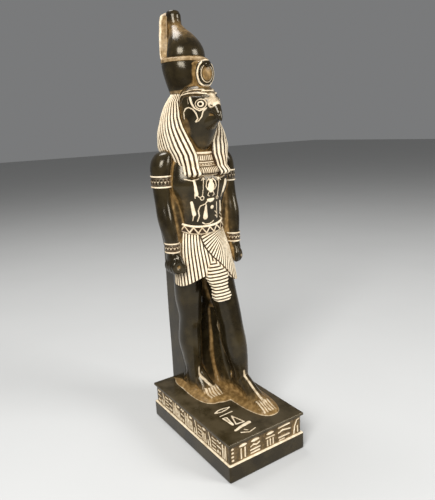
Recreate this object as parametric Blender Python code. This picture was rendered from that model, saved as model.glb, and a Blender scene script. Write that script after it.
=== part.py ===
"""Striding falcon-headed figure with a double crown, cast in one piece with its back pillar and plinth.

Metres, +Z up. The figure faces -Y and its right hand is at -X. The origin is at the middle of the
plinth's underside. Sizes below are in millimetres and are turned into metres when a mesh is made.
"""

import math

import bmesh
import bpy
from mathutils import Matrix

NODE = "horus_figure"
MM = 0.001

# Plinth: a lower slab, a sunk band for the relief and a top slab.
PLINTH_WIDTH = 84.0
PLINTH_DEPTH = 138.0
SLAB_TOP = 16.4
BAND_TOP = 34.4
PLINTH_TOP = 37.0
BAND_INSET = 1.4
BAND_MARGIN = 1.6
MARK_RISE = 0.8

# Back pillar and the stone left between the limbs.
PILLAR_HALF_WIDTH = 19.0
PILLAR_FRONT = 38.0
PILLAR_BACK = 68.8
PILLAR_TOP = 271.0

# Heights up the figure.
HEM = 153.0
BELT_BOTTOM = 197.5
BELT_TOP = 208.5
COLLAR_BOTTOM = 253.5
COLLAR_TOP = 273.5
LAPPET_BOTTOM = 254.0
WIG_TOP = 327.0
RIM = 355.5
CROWN_TOP = 399.5
CROWN_BACK_THICK = 8.0

AXIS_Y = 34.0
WIG_STRIPES = 38
WIG_STRIPE_DEPTH = 0.55
KILT_PLEATS = 36
KILT_PLEAT_DEPTH = 0.6

FIST_HOLE_RADIUS = 1.6
URAEUS_Y = 3.4

COLOURS = {"patinated_stone": ((0.055, 0.045, 0.026, 1.0), 0.28, 0.0)}


def clear_scene():
    """Remove the start-up objects."""
    for old in list(bpy.data.objects):
        bpy.data.objects.remove(old, do_unlink=True)


def make_collection(name):
    """A collection linked to the scene."""
    group = bpy.data.collections.new(name)
    bpy.context.scene.collection.children.link(group)
    return group


def make_material(name):
    """A plain finish from the colour table."""
    colour, roughness, metallic = COLOURS[name]
    material = bpy.data.materials.new(name)
    material.use_nodes = True
    shader = material.node_tree.nodes["Principled BSDF"]
    shader.inputs["Base Color"].default_value = colour
    shader.inputs["Roughness"].default_value = roughness
    shader.inputs["Metallic"].default_value = metallic
    return material


def object_from(bm, name, group):
    """Turn millimetres into metres, make the faces point out and give the mesh its object."""
    bmesh.ops.scale(bm, vec=(MM, MM, MM), verts=bm.verts)
    bmesh.ops.recalc_face_normals(bm, faces=bm.faces)
    mesh = bpy.data.meshes.new(name)
    bm.to_mesh(mesh)
    bm.free()
    made = bpy.data.objects.new(name, mesh)
    group.objects.link(made)
    return made


def power(value, exponent):
    """A signed power, which squares off an ellipse."""
    return math.copysign(abs(value) ** exponent, value)


def loft(bm, rows, count=20, square=2.0, axis="z", ripple=None, ripple_depth=0.0):
    """A closed body through rings.

    A row is (place along the axis, centre across, centre the other way, half sizes of the two).
    Along z the two ways are x and y; along y they are x and z.
    """
    exponent = 2.0 / square
    rings = []
    for place, first, second, half_first, half_second in rows:
        ring = []
        for i in range(count):
            angle = 2 * math.pi * i / count
            grow = ripple(i, place) * ripple_depth if ripple else 0.0
            a = first + (half_first + grow) * power(math.cos(angle), exponent)
            b = second + (half_second + grow) * power(math.sin(angle), exponent)
            point = (a, b, place) if axis == "z" else (a, place, b)
            ring.append(bm.verts.new(point))
        rings.append(ring)
    for low, high in zip(rings, rings[1:]):
        for i in range(count):
            j = (i + 1) % count
            bm.faces.new((low[i], low[j], high[j], high[i]))
    bm.faces.new(rings[0])
    bm.faces.new(rings[-1])


def block(bm, low, high):
    """A box between two corners."""
    middle = [(a + b) / 2 for a, b in zip(low, high)]
    made = bmesh.ops.create_cube(bm, size=1.0)["verts"]
    bmesh.ops.scale(bm, vec=[b - a for a, b in zip(low, high)], verts=made)
    bmesh.ops.translate(bm, vec=middle, verts=made)
    return made


def mirrored(make, side):
    """Build with the maker on the +X side, and mirror it when the side is -1."""
    bm = bmesh.new()
    make(bm)
    if side < 0:
        bmesh.ops.scale(bm, vec=(-1, 1, 1), verts=bm.verts)
    return bm


def plinth():
    """The stepped block that the figure stands on."""
    bm = bmesh.new()
    half_x = PLINTH_WIDTH / 2
    half_y = PLINTH_DEPTH / 2
    block(bm, (-half_x, -half_y, 0), (half_x, half_y, SLAB_TOP))
    return bm


def plinth_band():
    """The sunk band between the two slabs."""
    bm = bmesh.new()
    half_x = PLINTH_WIDTH / 2 - BAND_INSET
    half_y = PLINTH_DEPTH / 2 - BAND_INSET
    block(bm, (-half_x, -half_y, SLAB_TOP - 2), (half_x, half_y, BAND_TOP + 1))
    return bm


def plinth_cap():
    """The top slab."""
    bm = bmesh.new()
    half_x = PLINTH_WIDTH / 2 - 0.3
    half_y = PLINTH_DEPTH / 2 - 0.3
    block(bm, (-half_x, -half_y, BAND_TOP), (half_x, half_y, PLINTH_TOP))
    return bm


def band_marks():
    """Rows of plain raised strokes around the sunk band, none of them a letter."""
    boxes = []
    low = SLAB_TOP + BAND_MARGIN
    high = BAND_TOP - BAND_MARGIN
    for face_length, across, along_y in (
        (PLINTH_WIDTH, PLINTH_DEPTH / 2 - BAND_INSET, False),
        (PLINTH_DEPTH, PLINTH_WIDTH / 2 - BAND_INSET, True),
    ):
        count = int(face_length / 11.0)
        pitch = (face_length - 8.0) / count
        for side in (-1, 1):
            for i in range(count):
                middle = -face_length / 2 + 4.0 + pitch * (i + 0.5)
                tall = i % 2 == 0
                width = 1.4 if tall else 5.0
                levels = ((low, high),) if tall else ((low, low + 2.2), (high - 4.4, high - 1.6))
                for bottom, top in levels:
                    inner = (across - 1.0) * side
                    outer = (across + MARK_RISE) * side
                    ends = sorted((inner, outer))
                    if along_y:
                        boxes.append(
                            (
                                (ends[0], middle - width / 2, bottom),
                                (ends[1], middle + width / 2, top),
                            )
                        )
                    else:
                        boxes.append(
                            (
                                (middle - width / 2, ends[0], bottom),
                                (middle + width / 2, ends[1], top),
                            )
                        )
    bm = bmesh.new()
    for box in boxes:
        block(bm, *box)
    return bm


def pillar():
    """The back pillar, up to the shoulders."""
    bm = bmesh.new()
    block(
        bm,
        (-PILLAR_HALF_WIDTH, PILLAR_FRONT, PLINTH_TOP - 3),
        (PILLAR_HALF_WIDTH, PILLAR_BACK, PILLAR_TOP),
    )
    return bm


def arm_web():
    """The stone left between the arms and the body."""
    rows = [
        (165.0, 0, 33.0, 31.0, 12.0),
        (185.0, 0, 33.5, 33.0, 13.0),
        (215.0, 0, 35.0, 36.0, 13.5),
        (250.0, 0, 37.0, 36.0, 12.0),
        (262.0, 0, 38.0, 33.0, 10.0),
    ]
    bm = bmesh.new()
    loft(bm, rows, 20, 4.0)
    return bm


def leg_web():
    """The stone left between the legs, the pillar and the plinth."""
    rows = [
        (PLINTH_TOP - 2.5, 2.0, 31.0, 17.5, 18.0),
        (52.0, 1.5, 38.5, 13.5, 9.5),
        (90.0, 1.0, 38.5, 14.5, 7.5),
        (156.5, 0.0, 36.5, 15.5, 7.5),
    ]
    bm = bmesh.new()
    loft(bm, rows, 16, 3.0)
    return bm


def front_web(bm):
    """The stone behind the leading shin, down to its heel."""
    rows = [
        (PLINTH_TOP - 2.0, 15.5, 20.0, 7.5, 24.0),
        (50.0, 15.0, 24.0, 5.0, 20.0),
        (70.0, 14.5, 28.0, 5.0, 15.0),
        (118.0, 14.0, 30.0, 6.0, 10.0),
    ]
    loft(bm, rows, 14, 2.6)


def torso():
    """Chest to hips, broad at the shoulders."""
    rows = [
        (192.0, 0, 31.5, 24.6, 16.6),
        (205.0, 0, 31.0, 23.2, 16.4),
        (218.0, 0, 31.0, 23.4, 18.6),
        (232.0, 0, 31.0, 25.8, 22.4),
        (246.0, 0, 31.5, 31.0, 24.0),
        (256.0, 0, 32.5, 34.0, 23.6),
        (265.0, 0, 33.5, 34.0, 20.5),
        (273.0, 0, 34.0, 26.0, 17.0),
        (282.0, 0, 34.5, 16.0, 14.0),
    ]
    bm = bmesh.new()
    loft(bm, rows, 28, 2.4)
    return bm


def arm(bm):
    """Shoulder to wrist, hanging straight."""
    rows = [
        (182.0, 33.8, 20.8, 5.6, 6.6),
        (195.0, 34.2, 21.8, 6.0, 7.0),
        (206.0, 35.2, 24.0, 6.8, 8.0),
        (217.0, 36.0, 26.4, 7.2, 8.6),
        (228.0, 36.0, 29.0, 7.2, 8.8),
        (241.0, 35.2, 31.4, 7.8, 9.6),
        (254.0, 34.4, 32.6, 8.8, 11.2),
        (264.0, 33.2, 33.2, 9.4, 11.4),
        (271.0, 30.4, 33.6, 8.6, 10.0),
        (276.0, 26.0, 34.0, 5.6, 7.0),
    ]
    loft(bm, rows, 16, 2.0)


def fist(bm):
    """A closed hand below the wrist."""
    rows = [
        (164.5, 32.8, 20.0, 3.4, 5.4),
        (167.0, 33.0, 19.6, 5.6, 8.4),
        (174.0, 33.4, 19.4, 6.6, 9.6),
        (180.0, 33.6, 20.0, 6.0, 8.2),
        (186.0, 33.8, 20.8, 5.4, 6.4),
    ]
    loft(bm, rows, 16, 2.6)


def thumb(bm):
    """The thumb folded over the front of the fist."""
    rows = [
        (167.0, 29.4, 12.0, 1.6, 1.8),
        (170.0, 29.8, 11.0, 2.3, 2.6),
        (175.5, 30.8, 11.4, 2.5, 2.8),
        (181.0, 32.2, 14.0, 2.4, 2.8),
        (186.0, 33.2, 16.8, 1.6, 1.8),
    ]
    loft(bm, rows, 10, 2.0)


def band(bm, level, height, centre_x, centre_y, half_x, half_y, count=18):
    """A flat bracelet with a raised edge above and below."""
    edge = 1.5
    rows = [
        (level - height / 2, centre_x, centre_y, half_x, half_y),
        (level - height / 2 + edge, centre_x, centre_y, half_x, half_y),
        (level - height / 2 + edge + 0.2, centre_x, centre_y, half_x - 0.5, half_y - 0.5),
        (level + height / 2 - edge - 0.2, centre_x, centre_y, half_x - 0.5, half_y - 0.5),
        (level + height / 2 - edge, centre_x, centre_y, half_x, half_y),
        (level + height / 2, centre_x, centre_y, half_x, half_y),
    ]
    loft(bm, rows, count, 2.0)


def armband(bm):
    """The upper arm's band."""
    band(bm, 248.5, 11.0, 34.8, 32.2, 9.2, 11.2, 14)


def wristband(bm):
    """The wrist's band."""
    band(bm, 190.5, 9.5, 34.0, 21.4, 6.8, 7.8, 14)


def standing_leg():
    """The figure's right leg, upright under the body."""
    rows = [
        (PLINTH_TOP - 2.0, -14.0, 32.0, 7.0, 11.0),
        (46.0, -14.0, 32.0, 7.0, 10.0),
        (58.0, -14.0, 31.0, 7.2, 9.0),
        (74.0, -14.4, 32.0, 8.8, 11.0),
        (92.0, -15.0, 33.0, 10.6, 13.0),
        (106.0, -15.0, 31.6, 10.2, 12.2),
        (116.0, -14.6, 30.0, 10.6, 12.4),
        (134.0, -15.0, 30.6, 12.4, 14.4),
        (160.0, -14.0, 31.0, 13.0, 15.0),
    ]
    bm = bmesh.new()
    loft(bm, rows, 18, 2.1)
    return bm


def leading_leg(bm):
    """The figure's left leg, one step forward."""
    rows = [
        (PLINTH_TOP - 2.0, 18.6, -1.0, 6.8, 10.5),
        (46.0, 18.6, -2.0, 6.8, 9.6),
        (58.0, 18.4, -3.6, 7.2, 9.4),
        (74.0, 18.0, 0.0, 9.0, 13.0),
        (92.0, 17.6, 4.4, 10.6, 15.4),
        (106.0, 17.2, 7.0, 10.2, 14.6),
        (118.0, 16.8, 10.6, 11.2, 15.0),
        (138.0, 16.2, 16.4, 13.0, 17.4),
        (160.0, 15.6, 21.0, 14.0, 19.0),
    ]
    loft(bm, rows, 18, 2.1)


def foot(bm, middle, toe, heel, length_scale=1.0):
    """A bare foot along -Y from the heel to the toes, with the sole in the plinth."""
    sole = PLINTH_TOP - 1.5
    profile = [
        (0.00, 3.0, 3.0),
        (0.04, 6.6, 7.4),
        (0.16, 7.6, 8.4),
        (0.36, 8.6, 7.4),
        (0.52, 8.4, 12.0),
        (0.66, 7.4, 16.0),
        (0.82, 6.8, 17.0),
        (0.97, 6.2, 13.0),
        (1.00, 4.2, 9.0),
    ]
    rows = []
    for share, half_width, rise in profile:
        place = toe + (heel - toe) * share * length_scale
        rows.append((place, middle, sole + rise / 2, half_width, rise / 2))
    loft(bm, rows, 14, 2.6, axis="y")


def toe_form(middle, toe, i):
    """One of five toes side by side, the inner one largest."""
    bm = bmesh.new()
    radius = 2.1 - 0.16 * i
    across = middle - 6.2 + 3.15 * i
    tip = toe - 1.0 + 0.75 * i
    rows = [
        (tip - 0.2, across, PLINTH_TOP + 1.4, radius * 0.5, radius * 0.5),
        (tip + 0.8, across, PLINTH_TOP + 1.5, radius, radius),
        (tip + 6.0, across, PLINTH_TOP + 2.4, radius, radius * 1.1),
        (tip + 12.0, across, PLINTH_TOP + 4.0, radius * 0.8, radius),
    ]
    loft(bm, rows, 8, 2.0, axis="y")
    return bm


def ground_fillet(centre_x, centre_y, half_x, half_y):
    """The low skirt of stone that carries a foot."""
    bm = bmesh.new()
    rows = [
        (PLINTH_TOP - 1.0, centre_x, centre_y, half_x, half_y),
        (PLINTH_TOP + 0.6, centre_x, centre_y, half_x - 1.6, half_y - 2.0),
        (PLINTH_TOP + 2.6, centre_x, centre_y, half_x - 4.2, half_y - 5.4),
    ]
    loft(bm, rows, 24, 2.4)
    return bm


def pleat(i, _place):
    """Out on even columns and in on odd ones."""
    return 1.0 if i % 2 == 0 else -1.0


def kilt():
    """The pleated kilt, flaring to its hem."""
    rows = [
        (HEM - 1.5, 0.4, 22.4, 34.4, 21.8),
        (160.0, 0.4, 23.4, 33.4, 21.0),
        (176.0, 0.2, 26.0, 30.6, 19.2),
        (190.0, 0.0, 28.6, 28.0, 17.4),
        (202.0, 0.0, 30.6, 25.6, 16.0),
    ]
    bm = bmesh.new()
    loft(
        bm,
        rows,
        2 * KILT_PLEATS,
        2.2,
        ripple=pleat,
        ripple_depth=KILT_PLEAT_DEPTH,
    )
    return bm


def apron():
    """The pleated tongue that hangs at the front."""
    bm = bmesh.new()
    count = 12
    top, bottom = 174.0, 137.5
    rows = []
    for k in range(2 * count + 1):
        share = k / (2 * count)
        level = bottom + (top - bottom) * share
        ridge = 0.45 if k % 2 else -0.25
        widest = 0.68
        if share < widest:
            half = 8.2 + 4.4 * share / widest
            middle = 4.2 - 3.4 * share / widest
        else:
            half = 12.6 - 9.6 * (share - widest) / (1 - widest)
            middle = 0.8
        front = -6.0 + 8.6 * share
        rows.append((level, middle, front + 10.0, half + ridge * 0.4, 10.0 + ridge))
    loft(bm, rows, 12, 3.6)
    return bm


def belt():
    """The belt with a raised edge above and below."""
    edge = 1.4
    rows = []
    for level, grow in (
        (BELT_BOTTOM - 0.8, 1.3),
        (BELT_BOTTOM + edge - 0.8, 1.3),
        (BELT_BOTTOM + edge - 0.5, 0.7),
        (BELT_TOP - edge - 0.2, 0.7),
        (BELT_TOP - edge, 1.3),
        (BELT_TOP, 1.3),
    ):
        rows.append((level, 0, 31.0, 23.6 + grow, 16.8 + grow))
    bm = bmesh.new()
    loft(bm, rows, 36, 2.3)
    return bm


def belt_zigzag():
    """Raised wedges along the front of the belt."""
    bm = bmesh.new()
    count = 9
    for i in range(count):
        turn = math.radians(-68 + 136 * i / (count - 1))
        x = 24.6 * math.sin(turn)
        y = 31.0 - 17.7 * math.cos(turn)
        made = bmesh.ops.create_cone(
            bm, cap_ends=True, segments=3, radius1=3.2, radius2=2.8, depth=1.6
        )["verts"]
        bmesh.ops.rotate(bm, cent=(0, 0, 0), matrix=rotation_x(90), verts=made)
        bmesh.ops.rotate(bm, cent=(0, 0, 0), matrix=rotation_z(math.degrees(turn)), verts=made)
        bmesh.ops.translate(bm, vec=(x, y, (BELT_TOP + BELT_BOTTOM) / 2 - 0.6), verts=made)
    return bm


def rotation_x(degrees):
    """A turn about x."""
    return Matrix.Rotation(math.radians(degrees), 3, "X")


def rotation_z(degrees):
    """A turn about z."""
    return Matrix.Rotation(math.radians(degrees), 3, "Z")


def collar():
    """The broad collar between the lappets."""
    rows = []
    for level, front in (
        (COLLAR_BOTTOM, 7.2),
        (COLLAR_BOTTOM + 1.2, 6.8),
        (COLLAR_BOTTOM + 7.6, 6.4),
        (COLLAR_BOTTOM + 8.0, 7.0),
        (COLLAR_BOTTOM + 10.2, 7.0),
        (COLLAR_BOTTOM + 10.6, 6.4),
        (COLLAR_TOP - 2.0, 6.6),
        (COLLAR_TOP, 8.0),
        (COLLAR_TOP + 2.0, 12.0),
    ):
        rows.append((level, 0, front + 10.0, 16.0, 10.0))
    bm = bmesh.new()
    loft(bm, rows, 20, 2.6)
    return bm


def wig():
    """The striped wig, from under the crown to the shoulders."""
    rows = [
        (262.0, 0, 35.0, 30.4, 22.5),
        (274.0, 0, 35.0, 31.6, 24.6),
        (286.0, 0, 35.0, 31.2, 25.2),
        (298.0, 0, 35.2, 29.2, 25.0),
        (309.0, 0, 35.2, 26.0, 24.0),
        (318.0, 0, 34.6, 21.8, 22.0),
        (WIG_TOP - 3.0, 0, 34.0, 18.6, 20.0),
        (WIG_TOP, 0, 34.0, 16.4, 18.0),
    ]
    bm = bmesh.new()
    loft(
        bm,
        rows,
        2 * WIG_STRIPES,
        2.15,
        ripple=pleat,
        ripple_depth=WIG_STRIPE_DEPTH,
    )
    return bm


def lappet(bm):
    """One of the wig's two front falls, with its stripes."""
    rows = [
        (LAPPET_BOTTOM, 17.4, 15.4, 6.6, 9.0),
        (262.0, 18.6, 15.8, 7.8, 9.6),
        (272.0, 19.8, 16.4, 9.2, 10.6),
        (283.0, 21.0, 18.4, 8.6, 11.0),
        (296.0, 21.4, 22.0, 6.6, 10.0),
    ]
    loft(
        bm,
        rows,
        24,
        3.0,
        ripple=pleat,
        ripple_depth=0.4,
    )


def head():
    """The falcon's head inside the wig."""
    rows = [
        (272.0, 0, 24.0, 10.0, 15.5),
        (284.0, 0, 22.0, 12.0, 16.8),
        (291.0, 0, 20.0, 15.0, 19.6),
        (298.0, 0, 19.0, 17.0, 24.0),
        (306.0, 0, 19.0, 17.6, 28.0),
        (314.0, 0, 19.0, 17.6, 30.0),
        (320.0, 0, 19.0, 17.2, 28.6),
        (326.0, 0, 19.0, 16.0, 24.4),
    ]
    bm = bmesh.new()
    loft(bm, rows, 24, 1.55)
    return bm


def beak():
    """The hooked beak, a loft from the face to the tip."""
    rows = [
        (3.0, 0, 311.0, 8.6, 8.6),
        (-4.0, 0, 311.4, 6.4, 7.6),
        (-9.0, 0, 311.0, 5.0, 6.8),
        (-13.0, 0, 308.6, 3.8, 6.0),
        (-15.8, 0, 305.4, 2.6, 4.8),
        (-17.4, 0, 302.6, 1.3, 3.2),
        (-18.0, 0, 300.8, 0.5, 1.4),
    ]
    bm = bmesh.new()
    loft(bm, rows, 12, 2.0, axis="y")
    return bm


def eye(bm):
    """One round eye with its ring."""
    made = bmesh.ops.create_cone(
        bm, cap_ends=True, segments=14, radius1=4.6, radius2=3.8, depth=4.0
    )["verts"]
    bmesh.ops.rotate(bm, cent=(0, 0, 0), matrix=rotation_x(90), verts=made)
    bmesh.ops.rotate(bm, cent=(0, 0, 0), matrix=rotation_z(56), verts=made)
    bmesh.ops.translate(bm, vec=(9.4, 4.4, 314.6), verts=made)


def crown_cup():
    """The lower crown, a flaring cup with a chamfered rim."""
    rows = [
        (WIG_TOP - 3.0, 0, 33.4, 16.6, 17.4),
        (WIG_TOP, 0, 33.8, 17.2, 18.0),
        (338.0, 0, 36.0, 19.6, 20.2),
        (347.0, 0, 37.4, 20.8, 21.0),
        (RIM - 4.2, 0, 38.0, 21.2, 21.2),
        (RIM - 3.6, 0, 38.0, 21.2, 21.2),
        (RIM, 0, 38.2, 19.4, 19.4),
    ]
    bm = bmesh.new()
    loft(bm, rows, 32, 2.0)
    return bm


def crown_back():
    """The tall back of the lower crown, a thick curved panel that spreads into the rim."""
    levels = [
        (RIM - 8.0, 21.0, 38.2, 84.0),
        (RIM - 1.0, 21.2, 38.4, 66.0),
        (RIM + 2.5, 21.6, 38.8, 48.0),
        (RIM + 7.0, 22.0, 39.2, 37.0),
        (371.0, 22.4, 39.6, 32.0),
        (383.0, 22.4, 40.0, 29.0),
        (392.0, 22.0, 40.4, 26.0),
        (396.0, 20.6, 40.8, 18.0),
    ]
    bm = bmesh.new()
    steps = 6
    rings = []
    for level, radius, centre, spread in levels:
        turns = [math.radians(90 - spread + 2 * spread * k / steps) for k in range(steps + 1)]
        ring = []
        for reach, order in ((radius, turns), (radius - CROWN_BACK_THICK, turns[::-1])):
            for turn in order:
                x = reach * math.cos(turn)
                y = centre + reach * math.sin(turn)
                ring.append(bm.verts.new((x, y, level)))
        rings.append(ring)
    count = len(rings[0])
    for low, high in zip(rings, rings[1:]):
        for i in range(count):
            j = (i + 1) % count
            bm.faces.new((low[i], low[j], high[j], high[i]))
    for ring in (rings[0], rings[-1]):
        for k in range(steps):
            bm.faces.new((ring[k], ring[k + 1], ring[count - 2 - k], ring[count - 1 - k]))
    return bm


def crown_bulb():
    """The upper crown, leaning back to its bulb."""
    rows = [
        (RIM - 6.0, 0, 38.0, 19.0, 19.6),
        (RIM + 1.0, 0, 38.2, 18.8, 19.6),
        (364.0, 0, 40.2, 16.6, 18.0),
        (371.0, 0, 43.0, 13.2, 15.0),
        (377.0, 0, 46.4, 9.4, 11.0),
        (382.0, 0, 49.6, 6.6, 7.6),
        (386.0, 0, 51.6, 5.6, 6.2),
        (391.5, 0, 53.4, 6.2, 7.0),
        (396.0, 0, 54.4, 5.2, 5.8),
        (CROWN_TOP, 0, 54.8, 1.8, 2.0),
    ]
    bm = bmesh.new()
    loft(bm, rows, 20, 2.0)
    return bm


def uraeus():
    """The rearing cobra on the front of the crown: its hood, head and stem."""
    bm = bmesh.new()
    hood = bmesh.ops.create_uvsphere(bm, u_segments=16, v_segments=10, radius=1.0)["verts"]
    bmesh.ops.scale(bm, vec=(8.2, 4.2, 10.4), verts=hood)
    bmesh.ops.translate(bm, vec=(0, URAEUS_Y + 2.0, 339.0), verts=hood)
    return bm


def uraeus_head():
    """The cobra's head, leaning out over its hood."""
    bm = bmesh.new()
    rows = [
        (URAEUS_Y - 4.6, 0, 346.2, 1.2, 1.0),
        (URAEUS_Y - 3.4, 0, 346.4, 2.4, 1.8),
        (URAEUS_Y, 0, 347.0, 3.2, 2.6),
        (URAEUS_Y + 5.0, 0, 346.0, 3.2, 3.0),
    ]
    loft(bm, rows, 10, 2.0, axis="y")
    return bm


def uraeus_web():
    """The stone left between the cobra and the crown."""
    bm = bmesh.new()
    block(bm, (-4.6, URAEUS_Y + 2.6, 325.0), (4.6, 24.0, 350.4))
    return bm


def chest_marks():
    """Plain raised bars, discs and plumes on the chest and belly."""
    bm = bmesh.new()
    for x, low, high, wide in (
        (-13.5, 229.5, 245.0, 2.6),
        (-7.4, 229.0, 246.0, 1.2),
        (9.2, 230.0, 246.0, 1.4),
        (15.6, 231.0, 245.0, 2.4),
        (-13.0, 212.0, 224.0, 2.8),
        (-6.4, 211.5, 224.5, 1.0),
        (11.6, 212.0, 224.0, 2.0),
    ):
        block(bm, (x - wide / 2, chest_front(x, low) - 0.6, low), (x + wide / 2, 24.0, high))
    return bm


def chest_front(x, level):
    """How far forward the body is there."""
    half_width = 26.5 if level > 226 else 23.6
    depth = 22.6 if level > 226 else 18.0
    inside = max(0.0, 1 - abs(x / half_width) ** 2.4)
    return 31.0 - depth * inside ** (1 / 2.4)


def beetle():
    """The winged beetle at the middle of the chest, as a plain domed oval."""
    bm = bmesh.new()
    made = bmesh.ops.create_uvsphere(bm, u_segments=12, v_segments=8, radius=1.0)["verts"]
    bmesh.ops.scale(bm, vec=(4.4, 2.6, 6.8), verts=made)
    bmesh.ops.translate(bm, vec=(0.6, 10.6, 239.5), verts=made)
    return bm


def fist_hole(side):
    """The cutter for the narrow hole through a fist."""
    bm = bmesh.new()
    made = bmesh.ops.create_cone(
        bm,
        cap_ends=True,
        segments=10,
        radius1=FIST_HOLE_RADIUS,
        radius2=FIST_HOLE_RADIUS,
        depth=6.0,
    )["verts"]
    bmesh.ops.rotate(bm, cent=(0, 0, 0), matrix=rotation_x(90), verts=made)
    bmesh.ops.translate(bm, vec=(side * 35.0, 10.2, 172.5), verts=made)
    return bm


def all_forms():
    """Every form of the casting, in the order in which they are joined."""
    forms = [
        ("band", plinth_band()),
        ("cap", plinth_cap()),
        ("band_marks", band_marks()),
        ("pillar", pillar()),
        ("arm_web", arm_web()),
        ("leg_web", leg_web()),
        ("front_web", mirrored(front_web, 1)),
        ("torso", torso()),
        ("standing_leg", standing_leg()),
        ("leading_leg", mirrored(leading_leg, 1)),
        ("fillet_right", ground_fillet(-10.0, 22.0, 14.5, 28.0)),
        ("fillet_left", ground_fillet(21.0, -8.0, 14.0, 47.0)),
        ("kilt", kilt()),
        ("apron", apron()),
        ("belt", belt()),
        ("belt_zigzag", belt_zigzag()),
        ("wig", wig()),
        ("collar", collar()),
        ("head", head()),
        ("beak", beak()),
        ("crown_cup", crown_cup()),
        ("crown_back", crown_back()),
        ("crown_bulb", crown_bulb()),
        ("uraeus", uraeus()),
        ("uraeus_head", uraeus_head()),
        ("uraeus_web", uraeus_web()),
        ("chest_marks", chest_marks()),
        ("beetle", beetle()),
    ]
    for side, word in ((-1, "right"), (1, "left")):
        for name, make in (
            ("arm", arm),
            ("fist", fist),
            ("thumb", thumb),
            ("armband", armband),
            ("wristband", wristband),
            ("lappet", lappet),
            ("eye", eye),
        ):
            forms.append((f"{name}_{word}", mirrored(make, side)))
    for word, middle, toe, heel in (("right", -9.6, 0.0, 46.0), ("left", 21.6, -49.0, 10.0)):
        side = -1 if word == "right" else 1
        foot_mesh = bmesh.new()
        foot(foot_mesh, middle, toe, heel)
        forms.append((f"foot_{word}", foot_mesh))
        for i in range(5):
            toe_mesh = toe_form(middle * side, toe, i)
            bmesh.ops.scale(toe_mesh, vec=(side, 1, 1), verts=toe_mesh.verts)
            forms.append((f"toe_{word}_{i + 1}", toe_mesh))
    return forms


def main():
    """Build the casting as one solid."""
    clear_scene()
    parts = make_collection("horus_falcon_figure")
    helpers = make_collection("joined_forms")
    figure = object_from(plinth(), NODE, parts)
    figure.data.materials.append(make_material("patinated_stone"))
    for name, bm in all_forms():
        helper = object_from(bm, name, helpers)
        helper.hide_render = True
        helper.display_type = "WIRE"
        join = figure.modifiers.new(name, "BOOLEAN")
        join.operation = "UNION"
        # So many lofts in one chain leave open edges with EXACT, and MANIFOLD keeps them closed.
        join.solver = "MANIFOLD"
        join.object = helper
    for side, word in ((-1, "right"), (1, "left")):
        cutter = object_from(fist_hole(side), f"fist_hole_{word}", helpers)
        cutter.hide_render = True
        cutter.display_type = "WIRE"
        cut = figure.modifiers.new(cutter.name, "BOOLEAN")
        cut.operation = "DIFFERENCE"
        cut.solver = "MANIFOLD"
        cut.object = cutter
    figure.data.shade_smooth()
    figure.data.set_sharp_from_angle(angle=math.radians(30))


main()
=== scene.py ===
"""The looks of a striding falcon-headed figure in dark polished stone with an antique patina.

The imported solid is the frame. Every form is modelled again here in finer mesh, in millimetres and in
the solid's own place, and turned into metres when its object is made.
"""

import math

import bmesh
import bpy
import numpy as np
from mathutils import Matrix, Vector
from mathutils.bvhtree import BVHTree


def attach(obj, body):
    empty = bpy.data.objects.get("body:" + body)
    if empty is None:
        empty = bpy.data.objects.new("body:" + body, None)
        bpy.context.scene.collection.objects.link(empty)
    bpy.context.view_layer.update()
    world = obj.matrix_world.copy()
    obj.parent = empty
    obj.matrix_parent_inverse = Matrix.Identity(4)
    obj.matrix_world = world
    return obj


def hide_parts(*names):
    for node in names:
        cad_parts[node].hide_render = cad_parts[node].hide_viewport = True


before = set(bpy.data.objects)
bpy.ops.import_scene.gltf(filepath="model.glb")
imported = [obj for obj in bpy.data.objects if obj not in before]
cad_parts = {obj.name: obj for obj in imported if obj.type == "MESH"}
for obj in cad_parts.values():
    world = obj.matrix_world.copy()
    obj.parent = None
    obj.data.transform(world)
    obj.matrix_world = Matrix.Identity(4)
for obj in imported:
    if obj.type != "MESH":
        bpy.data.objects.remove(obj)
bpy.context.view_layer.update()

NODE = "horus_figure"
MM = 0.001
MERGE = 0.002
PROFILE_STEPS = 700
TURN_STEPS = 4001

# The cells of the cast skins and of the patina's grid, in millimetres, and how far they are blurred.
HEAD_CELL = 0.52
ARMS_CELL = 0.92
LEGS_CELL = 0.86
SOFTENING = 3
PATINA_CELL = 1.4
PATINA_BLUR = 2
PATINA_REACH = 1.2

# The plinth: a lower slab with a ledge, a sunk band of relief and a top slab.
PLINTH_WIDTH = 84.0
PLINTH_DEPTH = 138.0
LEDGE = 16.4
BAND_TOP = 34.4
PLINTH_TOP = 37.0
BAND_GROUND = 2.0

# The feet. Each is its side, the middle of its toes and of its heel across, the tips of its toes and the
# back of its heel along, and the lift of its arch.
TOE_PITCH = 3.15
RIGHT_FOOT = (-1, -7.0, -13.0, 5.0, 46.0, 1.28)
LEFT_FOOT = (1, 17.6, 19.4, -46.5, 10.0, 1.0)

# Heights up the figure, and the pillar behind it.
PILLAR_TOP = 271.0
PILLAR_CENTRE = 53.4
PILLAR_HALF_X = 19.0
PILLAR_HALF_Y = 15.4
BELT_TOP_FRONT = 206.6
BELT_HEIGHT = 7.4
COLLAR_BOTTOM = 253.4
COLLAR_TOP = 274.0
WIG_BOTTOM = 252.4
WIG_TOP = 327.0
RIM = 355.5
CROWN_TOP = 399.4

# Fine carving.
SIGN_PITCH = 7.9
WIG_STRIPES = 17
WIG_RECESS = 6.5
WIG_GROOVE = 1.2
PLEAT_PITCH = 2.9
PLEAT_GROOVE = 0.9
FAN_PITCH = math.radians(4.6)
FAN_CENTRE = (31.0, 203.0)
APRON_PLEAT = 2.95

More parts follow.
